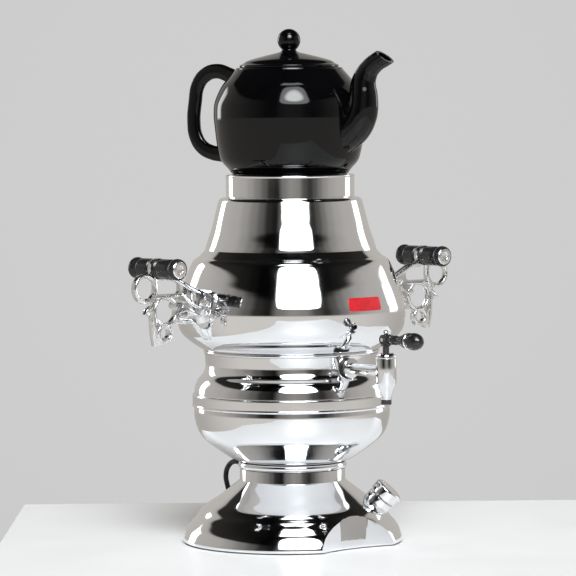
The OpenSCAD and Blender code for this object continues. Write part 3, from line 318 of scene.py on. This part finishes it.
Finish("black rubber", "rubber", (0.006, 0.006, 0.006), (0.01, 0.01, 0.01), 120,
       (0.34, 0.5), 1500, 0.00004, level=0.3)
Finish("painted sheet", "base_sheet", (0.08, 0.08, 0.08), (0.12, 0.12, 0.12), 50,
       (0.45, 0.6), 1200, 0.00004)
Finish("pale insulator", "pale_insulator", (0.72, 0.69, 0.6), (0.62, 0.59, 0.51), 80,
       (0.45, 0.6), 700, 0.00004)
Finish("blue insulation", "blue_insulation", (0.06, 0.16, 0.36), (0.05, 0.12, 0.28), 120,
       (0.35, 0.5), 900, 0.00003)
Finish("plug plastic", "black_plug", (0.018, 0.018, 0.018), (0.026, 0.026, 0.026), 90,
       (0.3, 0.45), 1400, 0.00005)
Finish("table top", "", (0.88, 0.88, 0.885), (0.86, 0.86, 0.865), 4,
       (0.34, 0.46), 900, 0.00002, level=0.25)


def finish(piece, name, body="base", nodes=(), angle=35):
    selectOnly(piece)
    if piece.type == "MESH":
        bpy.ops.object.shade_smooth_by_angle(angle=math.radians(angle))
    piece.data.materials.clear()
    piece.data.materials.append(finishes[name].material)
    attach(piece, body)
    if nodes:
        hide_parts(*nodes)
    return piece


carried = {
    "satin steel": ["base_screws", "bracket_nuts", "rod_left", "rod_right", "tie_rod", "tie_nut",
                    "knob_shaft", "tap_spring", "tank_floor", "thermostat", "heater"],
    "satin brass": ["heater_bushes", "heater_nuts", "tap_lock_nut", "thermostat_bulb"],
    "black rubber": ["rubber_feet", "tap_gaskets", "tap_seal"],
    "painted sheet": ["base_plate"],
    "pale insulator": ["terminal_block", "safety_cutout"],
    "blue insulation": ["wiring"],
    "plug plastic": ["mains_plug", "cord_tie"],
    "fitting chrome": ["tap_pin"],
}
for finishName, nodeNames in carried.items():
    for nodeName in nodeNames:
        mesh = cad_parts[nodeName].data
        mesh.materials.clear()
        mesh.materials.append(finishes[finishName].material)
print("stage: finishes made")


table = {"behind": 345, "left": 317, "right": 900, "ahead": 1300, "thick": 22, "edge": 3}


def addTable():
    selectOnly()
    bpy.ops.mesh.primitive_cube_add(size=1)
    top = bpy.context.object
    top.name = "table"
    width = table["left"] + table["right"]
    depth = table["behind"] + table["ahead"]
    squared = Matrix((right, -away, (0, 0, 1))).transposed().to_4x4()
    middle = shift((table["right"] - table["left"]) / 2, (table["behind"] - table["ahead"]) / 2,
                   -table["thick"] / 2)
    size = Matrix.Diagonal((width * mm, depth * mm, table["thick"] * mm, 1))
    settle(top, squared @ middle @ size)
    applied(top, "BEVEL", width=table["edge"] * mm, segments=4)
    bpy.ops.object.shade_smooth_by_angle(angle=math.radians(30))
    top.data.materials.append(finishes["table top"].material)


# The studio is painted on the world by direction: azimuth 0 is towards the camera and grows to its right.
# room is (azimuth, radiance), heights is (elevation, share of it), floor is the bright ground in front
# of the table, window is the round-cornered main light and core its brighter middle, and each panel is
# a soft-edged strip (lowest and highest azimuth, lowest and highest elevation, edge, radiance).
# The camera sees the grey background instead, darker by corners where the cosine of the angle off the
# view's middle, which lies lookDown below level, has come down to cornerView.
studio = {
    "room": [(-180, 0.52), (-150, 0.54), (-120, 0.5), (-90, 0.45), (-75, 0.36), (-60, 0.24), (-46, 0.12),
             (-36, 0.03), (-23, 0.012), (-12, 0.2), (2, 0.3), (14, 0.26), (26, 0.08), (36, 0.03),
             (46, 0.1), (54, 0.2), (64, 0.32), (78, 0.42), (95, 0.48), (140, 0.54), (180, 0.52)],
    "heights": [(-90, 0), (-6, 0), (-2, 1), (24, 1), (30, 0.9), (34, 0.05), (60, 0.02), (90, 0.015)],
    "floor": {"level": 0.7, "sides": 0.45, "low": -6, "high": -2, "turn": (60, 150)},
    "window": {"azimuth": 8.5, "elevation": 40.5, "wide": 25, "tall": 19.5, "corner": 3.2, "edge": 0.2,
               "radiance": 6},
    "core": {"azimuth": 8.5, "elevation": 42, "wide": 16, "tall": 11, "corner": 2, "edge": 0.6,
             "radiance": 18},
    "panels": [(-26, 44, 66, 76, 2, 5), (-141, -128, -3, 22, 2, 4.5), (118, 134, -3, 18, 2, 2.2)],
    "warm": (1, 0.95, 0.89),
    "cool": (0.965, 0.99, 1),
    "background": 0.62,
    "corners": 0.03,
    "cornerView": 0.988,
    "lookDown": 0.03,
}


class World:
    def __init__(self):
        world = bpy.data.worlds.new("studio")
        bpy.context.scene.world = world
        world.use_nodes = True
        self.tree = world.node_tree
        self.shader = self.tree.nodes["Background"]
        self.way = self.tree.nodes.new("ShaderNodeTexCoord").outputs["Generated"]

    def put(self, socket, value):
        if isinstance(value, (int, float)):
            socket.default_value = value
        else:
            self.tree.links.new(value, socket)

    def sum(self, operation, first, second=0.0):
        node = self.tree.nodes.new("ShaderNodeMath")
        node.operation = operation
        self.put(node.inputs[0], first)
        self.put(node.inputs[1], second)
        return node.outputs[0]

    def tinted(self, value, colour):
        node = self.tree.nodes.new("ShaderNodeVectorMath")
        node.operation = "SCALE"
        node.inputs[0].default_value = colour
        self.tree.links.new(value, node.inputs["Scale"])
        return node.outputs["Vector"]

    def plus(self, first, second):
        node = self.tree.nodes.new("ShaderNodeVectorMath")
        node.operation = "ADD"
        self.tree.links.new(first, node.inputs[0])
        self.tree.links.new(second, node.inputs[1])
        return node.outputs["Vector"]

    def along(self, axis):
        node = self.tree.nodes.new("ShaderNodeVectorMath")
        node.operation = "DOT_PRODUCT"
        self.tree.links.new(self.way, node.inputs[0])
        node.inputs[1].default_value = axis
        return node.outputs["Value"]

    def rise(self, value, low, high, start=0.0, end=1.0):
        node = self.tree.nodes.new("ShaderNodeMapRange")
        node.interpolation_type = "SMOOTHSTEP"
        for key, number in (("From Min", low), ("From Max", high), ("To Min", start), ("To Max", end)):
            node.inputs[key].default_value = number
        self.tree.links.new(value, node.inputs["Value"])
        return node.outputs["Result"]

    def ramp(self, value, low, high, stops):
        node = self.tree.nodes.new("ShaderNodeValToRGB")
        node.color_ramp.interpolation = "EASE"
        share = self.rise(value, low, high)
        share.node.interpolation_type = "LINEAR"
        self.tree.links.new(share, node.inputs["Fac"])
        elements = node.color_ramp.elements
        while len(elements) < len(stops):
            elements.new(0.5)
        for element, (place, level) in zip(elements, stops):
            element.position = (place - low) / (high - low)
            element.color = (level, level, level, 1)
        return node.outputs["Color"]


def windowShare(world, azimuth, elevation, window):
    offsets = []
    for value, middle, half in ((azimuth, window["azimuth"], window["wide"]),
                                (elevation, window["elevation"], window["tall"])):
        apart = world.sum("DIVIDE", world.sum("ABSOLUTE", world.sum("SUBTRACT", value, middle)), half)
        offsets.append(world.sum("POWER", apart, window["corner"]))
    reach = world.sum("ADD", *offsets)
    return world.rise(reach, 1 - window["edge"], 1 + window["edge"], 1.0, 0.0)


def addStudio():
    world = World()
    azimuth = world.sum("DEGREES", world.sum("ARCTAN2", world.along(right), world.along(away)))
    elevation = world.sum("DEGREES", world.sum("ARCSINE", world.along((0, 0, 1))))
    room = world.sum("MULTIPLY", world.ramp(azimuth, -180, 180, studio["room"]),
                     world.ramp(elevation, -90, 90, studio["heights"]))
    floor = studio["floor"]
    ground = world.sum("MULTIPLY", world.rise(elevation, floor["low"], floor["high"], 1.0, 0.0),
                       world.rise(world.sum("ABSOLUTE", azimuth), *floor["turn"], floor["level"],
                                  floor["sides"]))
    lamps = 0.0
    for lamp in (studio["window"], studio["core"]):
        share = windowShare(world, azimuth, elevation, lamp)
        lamps = world.sum("ADD", world.sum("MULTIPLY", share, lamp["radiance"]), lamps)
    for left, rightEnd, low, high, soft, level in studio["panels"]:
        across = world.sum("MULTIPLY", world.rise(azimuth, left - soft, left + soft),
                           world.rise(azimuth, rightEnd - soft, rightEnd + soft, 1.0, 0.0))
        upright = world.sum("MULTIPLY", world.rise(elevation, low - soft, low + soft),
                            world.rise(elevation, high - soft, high + soft, 1.0, 0.0))
        panel = world.sum("MULTIPLY", across, upright)
        lamps = world.sum("ADD", lamps, world.sum("MULTIPLY", panel, level))
    light = world.plus(world.tinted(world.sum("ADD", room, ground), studio["warm"]),
                       world.tinted(lamps, studio["cool"]))
    middle = away * -1 + Vector((0, 0, -studio["lookDown"]))
    near = world.along(middle.normalized())
    grey = world.rise(near, studio["cornerView"], 1.0, studio["background"] - studio["corners"],
                      studio["background"])
    path = world.tree.nodes.new("ShaderNodeLightPath")
    seen = world.tree.nodes.new("ShaderNodeMix")
    seen.data_type = "VECTOR"
    seen.factor_mode = "UNIFORM"
    world.tree.links.new(path.outputs["Is Camera Ray"], seen.inputs[0])
    world.tree.links.new(light, seen.inputs[4])
    world.tree.links.new(world.tinted(grey, (1, 1, 1)), seen.inputs[5])
    world.tree.links.new(seen.outputs[1], world.shader.inputs["Color"])
    world.shader.inputs["Strength"].default_value = 1


addTable()
addStudio()
bpy.context.scene.view_settings.view_transform = "Standard"
print("stage: table and studio")


# The route repeats the source's points, from the strain relief's mouth to the coil, and from the coil to
# the plug. The turns between them are worked out: three going in on the table, three going out on top.
cord = {
    "thick": 5.6,
    "toCoil": [(0, 77, 70), (0, 87.5, 76.5), (0.5, 100.5, 77.5), (1.5, 112, 71), (3.5, 118.5, 60),
               (8, 121.5, 49), (13, 124, 38), (17, 127.5, 27), (21, 132.5, 17), (26, 139.5, 9),
               (32, 148, 4.5), (39, 156.5, 3), (48, 163.5, 3), (59, 168.5, 3), (71, 170.5, 3), (90, 170, 3)],
    "centre": (111, 133),
    "turnRadii": [37, 31.4, 25.8, 25.8, 31.4, 37],
    "layers": (3.7, 9.3),
    "toPlug": [(94.5, 171.5, 9.2), (105, 183.5, 13), (116, 192.5, 16.5), (129, 197.5, 19.2),
               (137, 199, 19.2)],
    "perTurn": 16,
    "stepIn": (300, 360),
    "climb": (1010, 1080),
    "unturned": 50,
}


def eased(value, low, high):
    t = min(max((value - low) / (high - low), 0), 1)
    return t * t * (3 - 2 * t)


def coilTurns():
    radii = cord["turnRadii"]
    last = 360 * len(radii) - cord["unturned"]
    count = round(last * cord["perTurn"] / 360)
    points = []
    for k in range(count + 1):
        angle = last * k / count
        turn = min(int(angle // 360), len(radii) - 1)
        following = radii[min(turn + 1, len(radii) - 1)]
        radius = radii[turn] + (following - radii[turn]) * eased(angle - 360 * turn, *cord["stepIn"])
        z = cord["layers"][0] + (cord["layers"][1] - cord["layers"][0]) * eased(angle, *cord["climb"])
        way = math.radians(90 - angle)
        points.append((cord["centre"][0] + radius * math.cos(way),
                       cord["centre"][1] + radius * math.sin(way), z))
    return points


def addCord():
    route = cord["toCoil"] + coilTurns() + cord["toPlug"]
    path = tube("main_cord", [(*point, cord["thick"] / 2) for point in route], smooth=6)
    finish(path, "black rubber", nodes=["mains_cord", "cord_coil"])


addCord()
print("stage: cord")


# Heights and radii of the turned shells. Each outline is given in shares of its own width and height.
foot = {
    "radius": 118, "rim": 1.2, "rimTop": 5.4, "neckRadius": 56.5, "neckLow": 67, "top": 79, "wall": 1.5,
    "shares": [(1, 0), (0.935, 0.16), (0.83, 0.30), (0.74, 0.40), (0.63, 0.54), (0.40, 0.69), (0.21, 0.83),
               (0.08, 0.93), (0, 1)],
    "recessRadius": 150, "recessCentre": 248.5, "rolledEdge": 1.1, "rimRound": 1.2, "slack": 0.05,
}


def bottomFaces(piece, below):
    selectOnly(piece)
    bpy.ops.object.mode_set(mode="EDIT")
    bpy.ops.mesh.select_mode(type="FACE")
    bpy.ops.mesh.select_all(action="DESELECT")
    bpy.ops.object.mode_set(mode="OBJECT")
    for face in piece.data.polygons:
        face.select = face.center.z < below * mm
    bpy.ops.object.mode_set(mode="EDIT")


def addFoot():
    edge = foot["rimRound"]
    rim = arc((foot["radius"] - edge, foot["rim"] + edge), edge, -90, 0, 5)
    flare = through(within(foot["neckRadius"], foot["radius"], foot["rimTop"], foot["neckLow"],
                           foot["shares"]), 6)
    outline = [(0, foot["rim"])] + rim + flare + [(foot["neckRadius"], foot["top"]), (0, foot["top"])]
    shell = turned("foot", outline, steps=192)
    selectOnly()
    bpy.ops.mesh.primitive_cylinder_add(vertices=512, radius=foot["recessRadius"] * mm, depth=0.2,
                                        location=(0, -foot["recessCentre"] * mm, 0.09))
    minus(shell, bpy.context.object)
    applied(shell, "BEVEL", width=foot["rolledEdge"] * mm, segments=4, limit_method="ANGLE",
            angle_limit=math.radians(38), miter_outer="MITER_ARC")
    bottomFaces(shell, foot["rim"] + foot["slack"])
    bpy.ops.mesh.delete(type="FACE")
    bpy.ops.object.mode_set(mode="OBJECT")
    applied(shell, "SOLIDIFY", thickness=foot["wall"] * mm, offset=-1, use_even_offset=True)
    return finish(shell, "mirror chrome", nodes=["foot_shell"], angle=40)


def addBead():
    ring = turned("bead", arc((54.2, 83), 4, -90, 90, 20) + [(51, 87), (51, 79), (54.2, 79)], steps=192)
    return finish(ring, "mirror chrome", nodes=["neck_bead"])


bowl = {
    "neck": 57, "belly": 105, "low": 87, "top": 146, "wall": 1.2,
    "shares": [(0, 0), (0.19, 0.07), (0.35, 0.15), (0.57, 0.28), (0.79, 0.43), (0.92, 0.59), (0.985, 0.78),
               (1, 0.9), (0.995, 1)],
}


def addBowl():
    outline = through(within(bowl["neck"], bowl["belly"], bowl["low"], bowl["top"], bowl["shares"]), 6)
    shell = turned("bowl", walled(outline, bowl["wall"]), steps=192)
    return finish(shell, "mirror chrome", nodes=["lower_bowl"])


def addBand():
    outline = [(102, 146)] + arc((105.2, 147.8), 1.8, -90, 40, 8) + [(106.6, 149.4), (106.6, 149.9)]
    outline += [(106.6, 158)] + arc((105.6, 159), 1, 0, 90, 6)
    outline += [(98, 160), (98, 158), (104.6, 158), (104.6, 148), (102, 148)]
    ring = turned("band", outline + [outline[0]], steps=192)
    return finish(ring, "mirror chrome", nodes=["band_ring"])


waist = {
    "narrow": 92.6, "wide": 104.5, "low": 160, "top": 203.5, "wall": 1.2,
    "shares": [(1, 0.07), (0.9, 0.22), (0.62, 0.37), (0.18, 0.515), (0, 0.66), (0, 0.83), (0.07, 1)],
}


def addWaist():
    side = within(waist["narrow"], waist["wide"], waist["low"], waist["top"], waist["shares"])
    outline = [(waist["wide"], waist["low"])] + through(side, 6)
    shell = turned("waist", walled(outline, waist["wall"]), steps=192)
    return finish(shell, "mirror chrome", nodes=["tank_waist"])


def addSeam():
    ring = turned("seam", arc((92.75, 205.25), 1.75, -90, 90, 10) + [(90, 207), (90, 203.5), (92.75, 203.5)],
                  steps=192)
    return finish(ring, "mirror chrome", nodes=["seam_bead"])


tank = {
    "shoulder": 91.5, "belly": 122.5, "neck": 76.8, "low": 207, "middle": 314, "neckTop": 366.5, "wall": 1.2,
    "bellyShares": [(0.07, 0), (0.5, 0.08), (0.81, 0.16), (0.95, 0.24), (1, 0.355), (1, 0.44), (0.95, 0.505),
                    (0.845, 0.6), (0.715, 0.7), (0.445, 0.88), (0.21, 0.935), (0, 1)],
    "neckShares": [(1, 0), (0.965, 0.06), (0.815, 0.19), (0.525, 0.43), (0.305, 0.67), (0.085, 0.91), (0, 1)],
}


def addTank():
    belly = within(tank["shoulder"], tank["belly"], tank["low"], tank["middle"], tank["bellyShares"])
    neck = within(tank["neck"], tank["shoulder"], tank["middle"], tank["neckTop"], tank["neckShares"])
    outline = through(belly, 6) + through(neck, 6)[1:]
    outline += [(75.2, 368.6), (72, 369.7), (69.3, 370), (62.5, 370)]
    shell = turned("tank", walled(outline, tank["wall"]), steps=192)
    return finish(shell, "mirror chrome", nodes=["tank_upper"])


addFoot()
addBead()
addBowl()
addBand()
addWaist()
addSeam()
addTank()
print("stage: tank")


crown = {"steamHoles": 12, "steamHole": 4.4, "steamReach": 49}


def addCrown():
    outline = [(60.2, 352), (61.4, 352), (61.4, 370), (66.5, 370), (66.5, 370.8), (68.5, 370.8)]
    outline += [(68.8, 371.1), (68.8, 371.5), (68.8, 391.4), (68.8, 391.8)]
    outline += arc((68.05, 392.9), 1.1, -20, 200, 16) + [(67.3, 391.8), (67.3, 389), (45, 389)]
    outline += [(45, 387.5), (67.3, 387.5), (67.3, 371.5), (60.2, 371.5)]
    ring = turned("crown", outline + [outline[0]], steps=192)
    punches = []
    for k in range(crown["steamHoles"]):
        way = math.radians(15 + 360 * k / crown["steamHoles"])
        reach = crown["steamReach"] * mm
        selectOnly()
        bpy.ops.mesh.primitive_cylinder_add(vertices=24, radius=crown["steamHole"] / 2 * mm, depth=0.01,
                                            location=(reach * math.cos(way), reach * math.sin(way), 0.388))
        punches.append(bpy.context.object)
    minus(ring, join("punches", *punches))
    return finish(ring, "mirror chrome", body="crown", nodes=["crown_ring"])


# The spout and the strap lie in the teapot's own plane: (out past the belly, up from it, radius).
pot = {
    "turn": 17, "radius": 81.3, "belly": 455, "base": 61, "low": 395, "opening": 57, "rim": 506.5,
    "lower": [(0.05, 0), (0.25, 0.09), (0.54, 0.2), (0.69, 0.31), (0.86, 0.58), (1, 1)],
    "upper": [(1, 0), (0.955, 0.31), (0.66, 0.635), (0.34, 0.82), (0, 1)],
    "spout": [(-17, -21, 20.6), (-8, -15.5, 19.8), (1, -8.5, 18.9), (7.5, 1, 17.8), (10.4, 10, 16.9),
              (11.5, 21, 15.6), (12, 36, 13.3), (15, 44, 11.8), (20, 51, 10.6), (28.5, 57.8, 10),
              (38.5, 63, 10), (52, 71, 10)],
    "mouth": (38.5, 63), "mouthTilt": 55, "spoutWall": 2.8,
    "strap": [(-14, 39.5, 1.25), (-9, 43, 1.1), (-3, 46, 1.02), (12, 50, 1), (27, 46, 1), (37, 35, 1),
              (41, 17, 1), (43, -4, 1), (40, -21, 1), (32, -32, 1), (19, -38, 1), (7, -39.5, 1.06),
              (-1, -40, 1.2), (-7, -40, 1.35)],
    "strapWide": 16, "strapThick": 8.5, "strapCorner": 0.76,
}
potPlace = spun(pot["turn"], "Z")


def potInner():
    return [(0, 397), (52, 397), (58.5, 399.3), (66, 407.5), (70.6, 415), (74.2, 431), (76.6, 449),
            (76.8, 457), (75.6, 471), (69.4, 485), (62, 494.5), (56, 499.8), (48, 502.5), (48, 509), (0, 509)]


def inPotPlane(points, way):
    return [(0, way * (pot["radius"] + out), pot["belly"] + up, radius) for out, up, radius in points]


def spoutTube(name, thinner):
    path = tube(name, inPotPlane([(out, up, radius - thinner) for out, up, radius in pot["spout"]], -1),
                sides=14, smooth=10)
    return asMesh(path)


def cutMouth(piece, past=0.0):
    tilt = math.radians(pot["mouthTilt"])
    facing = Vector((0, -math.cos(tilt), math.sin(tilt)))
    out, up = pot["mouth"]
    middle = Vector((0, -(pot["radius"] + out), pot["belly"] + up)) * mm + facing * past * mm
    selectOnly(piece)
    bpy.ops.object.mode_set(mode="EDIT")
    bpy.ops.mesh.select_all(action="SELECT")
    bpy.ops.mesh.bisect(plane_co=middle, plane_no=facing, use_fill=True, clear_outer=True)
    bpy.ops.object.mode_set(mode="OBJECT")
    return piece


# the strap's round-cornered section is drawn flat and swept along its line
def addStrap():
    selectOnly()
    bpy.ops.curve.primitive_bezier_circle_add(radius=1)
    section = bpy.context.object
    for knot in section.data.splines[0].bezier_points:
        ends = [knot.co + (handle - knot.co).normalized() * pot["strapCorner"]
                for handle in (knot.handle_left, knot.handle_right)]
        knot.handle_left_type = "FREE"
        knot.handle_right_type = "FREE"
        knot.handle_left, knot.handle_right = ends
    for knot in section.data.splines[0].bezier_points:
        for point in (knot.co, knot.handle_left, knot.handle_right):
            point.x *= pot["strapThick"] / 2 * mm
            point.y *= pot["strapWide"] / 2 * mm
    section.data.resolution_u = 7
    path = tube("strap", inPotPlane(pot["strap"], 1), smooth=10)
    path.data.bevel_mode = "OBJECT"
    path.data.bevel_object = section
    strap = asMesh(path)
    bpy.data.objects.remove(section)
    return strap


def addTeapot():
    lower = through(within(pot["base"], pot["radius"], pot["low"], pot["belly"], pot["lower"]), 6)
    upper = through(within(pot["opening"], pot["radius"], pot["belly"], pot["rim"], pot["upper"]), 6)[1:]
    outside = [(0, 392), (55, 392), (55.6, 389)] + arc((60.2, 389.8), 0.8, -90, 0, 4) + [(61, 394.6)]
    outside += lower + upper + arc((55.6, 506.6), 1.4, 15, 90, 4)
    inside = potInner()[1:-2][::-1]
    body = turned("pot_body", outside + [(48, 508)] + inside + [(0, 397)], steps=176)
    hollow = turned("hollow", potInner(), steps=96)
    spout = cutMouth(spoutTube("spout", 0))
    minus(spout, hollow)
    minus(spout, cutMouth(spoutTube("bore", pot["spoutWall"]), past=4))
    applied(spout, "BEVEL", width=0.7 * mm, segments=3, limit_method="ANGLE", angle_limit=math.radians(50))
    teapot = settle(join("teapot", body, spout, addStrap()), potPlace)
    return finish(teapot, "black glaze", body="teapot", nodes=["teapot_body"], angle=40)


lid = {"ball": 12.3, "ballHeight": 537, "neck": 7.5}


def addLid():
    start = -math.degrees(math.acos(lid["neck"] / lid["ball"]))
    top = [(1, 0.12), (0.86, 0.36), (0.5, 0.66), (0, 1)]
    under = [(1, 0), (0.86, 0.42), (0.5, 0.72), (0, 1)]
    outline = [(43.3, 498), (46.5, 498), (46.5, 508)] + arc((52.2, 508.8), 0.8, -90, 0, 4)
    outline += arc((52, 510), 1, 0, 90, 4) + through(within(12, 49, 511, 524, top), 8)
    outline += [(9.6, 524.7), (8.2, 525.6)] + arc((0, lid["ballHeight"]), lid["ball"], start, 90, 24)
    outline += [(0, 519.5)] + through(within(12, 43.3, 508, 519, under)[::-1], 5) + [(43.3, 498)]
    cover = turned("lid", outline, steps=160)
    selectOnly()
    bpy.ops.mesh.primitive_cylinder_add(vertices=24, radius=1.5 * mm, depth=0.03, location=(0, 0.024, 0.521))
    minus(cover, bpy.context.object)
    settle(cover, potPlace)
    return finish(cover, "black glaze", body="lid", nodes=["teapot_lid"])


addCrown()
addTeapot()
addLid()
print("stage: crown and teapot")


# small pieces: the CAD node's form with its edges broken
softened = [
    ("name_plate", "plate", "base", "red enamel", 0.18),
    ("tap_pipe", "pipe", "base", "fitting chrome", 0.3),
    ("tap_body", "valve", "base", "fitting chrome", 0.3),
    ("nozzle_tip", "nozzle", "base", "black fitting", 0.3),
    ("tap_bonnet", "bonnet", "base", "fitting chrome", 0.25),
    ("tap_collar", "collar", "base", "black fitting", 0.2),
    ("tap_stem", "stem_rod", "stem", "black fitting", 0.2),
    ("stem_ball", "ball", "stem", "fitting chrome", 0.1),
    ("tap_lever", "lever_arm", "lever", "black handle", 0.3),
    ("lever_ring", "ring", "lever", "fitting chrome", 0.2),
    ("lever_knob", "knob_end", "lever", "black handle", 0.2),
    ("knob_bezel", "bezel", "base", "fitting chrome", 0.5),
    ("knob", "dial", "knob", "fitting chrome", 0.3),
    ("caps_left", "end_caps_left", "base", "fitting chrome", 0.3),
    ("caps_right", "end_caps_right", "base", "fitting chrome", 0.3),
    ("bracket_screws", "screws", "base", "satin steel", 0.2),
]


def addSoftened():
    for node, name, body, finishName, width in softened:
        piece = copyOf(node, name)
        applied(piece, "BEVEL", width=width * mm, segments=3, limit_method="ANGLE",
                angle_limit=math.radians(40))
        finish(piece, finishName, body=body, nodes=[node], angle=32)


addSoftened()
print("stage: tap and small pieces")


# The bracket's own frame has the grips' axis as its origin, +X away from the tank and +Z up.
handle = {
    "swing": 2, "reach": 185.8, "height": 300.4, "inner": 2.6, "outer": 35.25, "radius": 10.4, "end": 11.25,
}


def handlePlace(side):
    place = spun(-handle["swing"], "Z") @ shift(handle["reach"], 0, handle["height"])
    return place if side > 0 else Matrix.Diagonal((-1, 1, 1, 1)) @ place


def ribbed(start, end, radius, step, depth):
    line = []
    count = round((end - start) / step)
    for k in range(count):
        low = start + (end - start) * k / count
        high = start + (end - start) * (k + 1) / count
        line += [(radius - depth, low + 0.1), (radius - depth * 0.2, low + (high - low) * 0.3)]
        line += [(radius, (low + high) / 2), (radius - depth * 0.2, high - (high - low) * 0.3)]
    return line + [(radius - depth, end)]


def gripOutline():
    inner, outer, radius, end = handle["inner"], handle["outer"], handle["radius"], handle["end"]
    line = [(3.1, inner), (radius - 0.3, inner), (radius, inner + 0.3), (radius + 0.35, inner + 1),
            (radius, inner + 1.9)]
    line += ribbed(inner + 2.3, inner + 5.2, radius + 0.1, 1.45, 1)
    line += [(radius - 0.1, inner + 5.6), (radius + 0.1, inner + 8), (radius + 0.1, outer - 13),
             (radius, outer - 11)]
    line += [(radius - 1, outer - 9.8), (radius - 1.1, outer - 8.4), (radius - 0.2, outer - 7)]
    line += through([(end - 0.4, outer - 6), (end, outer - 4.5), (end, outer - 2), (end - 0.8, outer)], 3)
    return line + [(9.1, outer), (9.1, outer - 1.5), (3.1, outer - 1.5), (3.1, inner)]


def addGrips(side, name):
    grips = []
    for turn in (90, -90):
        grips.append(turned(name, gripOutline(), steps=64, place=handlePlace(side) @ spun(turn, "X")))
    piece = join(name, *grips)
    cleanMesh()
    return finish(piece, "black handle", nodes=["grips_left" if side < 0 else "grips_right"], angle=40)


# raised beads and leaves of the casting: (x, z, radius) lines on both faces of the bracket
def circleLine(centre, radius, thick, first=0, last=360, parts=16):
    return [(x, z, thick) for x, z in arc(centre, radius, first, last, parts)]


reliefLines = [
    circleLine((17.5, -20), 13.75, 1.35, -104, 136, 18),
    circleLine((-7, -67), 8.2, 1.1, -60, 240, 14),
    [(-9, -7.5, 0.8), (-16, -9.5, 1.6), (-24, -12.8, 1.9), (-34, -18.2, 1.9), (-45, -23.6, 1.5),
     (-56, -27.6, 0.7)],
    [(-57, -67.5, 0.7), (-50, -60, 1.4), (-43, -56.2, 1.8), (-33, -55.6, 1.7), (-26, -53.5, 0.9)],
    [(5.5, -29, 1.6), (8, -38, 1.5), (8, -50, 1.5), (6.8, -64, 1.3), (5, -77, 0.7)],
    [(5, -7, 1.1), (4.3, -16, 1.3), (4.2, -24, 1.4), (6, -29, 1)],
    [(-57, -52, 0.7), (-50, -49, 1.8), (-42, -45.5, 2.1), (-34, -45, 1.6), (-27, -48, 0.7)],
    [(-57, -43, 0.7), (-51, -42, 1.5), (-44, -38.5, 1.8), (-37.5, -33.5, 1.5), (-31, -27, 0.7)],
    [(-26, -29.5, 1.2), (-14, -29.8, 1.2), (-4, -29.8, 1.1), (6, -29.8, 0.8)],
    [(13, -46, 0.7), (16.5, -44.5, 1.2), (12, -40.5, 1.4), (7, -38, 1)],
]
reliefRings = [((-9, -44.5), 14.4, 1.15), ((-21, -39), 2.9, 0.55)]


def reliefPart(line, side, closed=False):
    flat = 0.62
    path = tube("relief", [(x, 0, z, radius) for x, z, radius in line], sides=4, smooth=6, closed=closed)
    piece = asMesh(path, Matrix.Diagonal((1, flat, 1, 1)))
    return settle(piece, shift(0, side * handle["inner"], 0))


def rosette(side):
    dome = turned("dome", [(0, 3.75), (0.9, 3.6), (1.7, 3.1), (2, 2.4), (0, 2.4)], steps=24)
    return settle(dome, shift(-21, 0, -39) @ spun(-90 * side, "X"))


def addBracket(side, node):
    body = copyOf(node, node + "_casting")
    applied(body, "BEVEL", width=0.75 * mm, segments=3, limit_method="ANGLE", angle_limit=math.radians(50),
            use_clamp_overlap=True)
    parts = []
    for face in (-1, 1):
        parts += [reliefPart(line, face) for line in reliefLines]
        parts += [reliefPart(circleLine(centre, radius, thick)[:-1], face, closed=True)
                  for centre, radius, thick in reliefRings]
        parts.append(rosette(face))
    relief = settle(join("relief", *parts), handlePlace(side))
    selectOnly(relief)
    cleanMesh()
    piece = join("casting_left" if side < 0 else "casting_right", body, relief)
    return finish(piece, "cast chrome", nodes=[node], angle=38)


addGrips(-1, "handle_left")
addGrips(1, "handle_right")
addBracket(-1, "bracket_left")
addBracket(1, "bracket_right")
print("stage: handles")


gland = {"reach": 66, "height": 59.1111, "tilt": 45, "length": 15.5, "bore": 2.95}


def addGland():
    outline = [(gland["bore"], -4), (7.4, -4), (7.7, -3.6), (7.7, 1.4), (7.1, 2), (5.6, 2.2)]
    for k in range(5):
        low = 3 + 2.3 * k
        radius = 5.5 - 0.23 * k
        outline += [(radius - 0.7, low), (radius - 0.7, low + 0.7), (radius, low + 0.9),
                    (radius - 0.06, low + 2.1)]
    outline += [(4.2, gland["length"] - 0.3), (3.9, gland["length"]), (gland["bore"], gland["length"])]
    place = spun(180, "Z") @ shift(0, -gland["reach"], gland["height"]) @ spun(90 - gland["tilt"], "X")
    sleeve = turned("cord_sleeve", outline + [outline[0]], steps=48, place=place)
    return finish(sleeve, "black rubber", nodes=["strain_relief"])


addGland()
print("stage: strain relief")
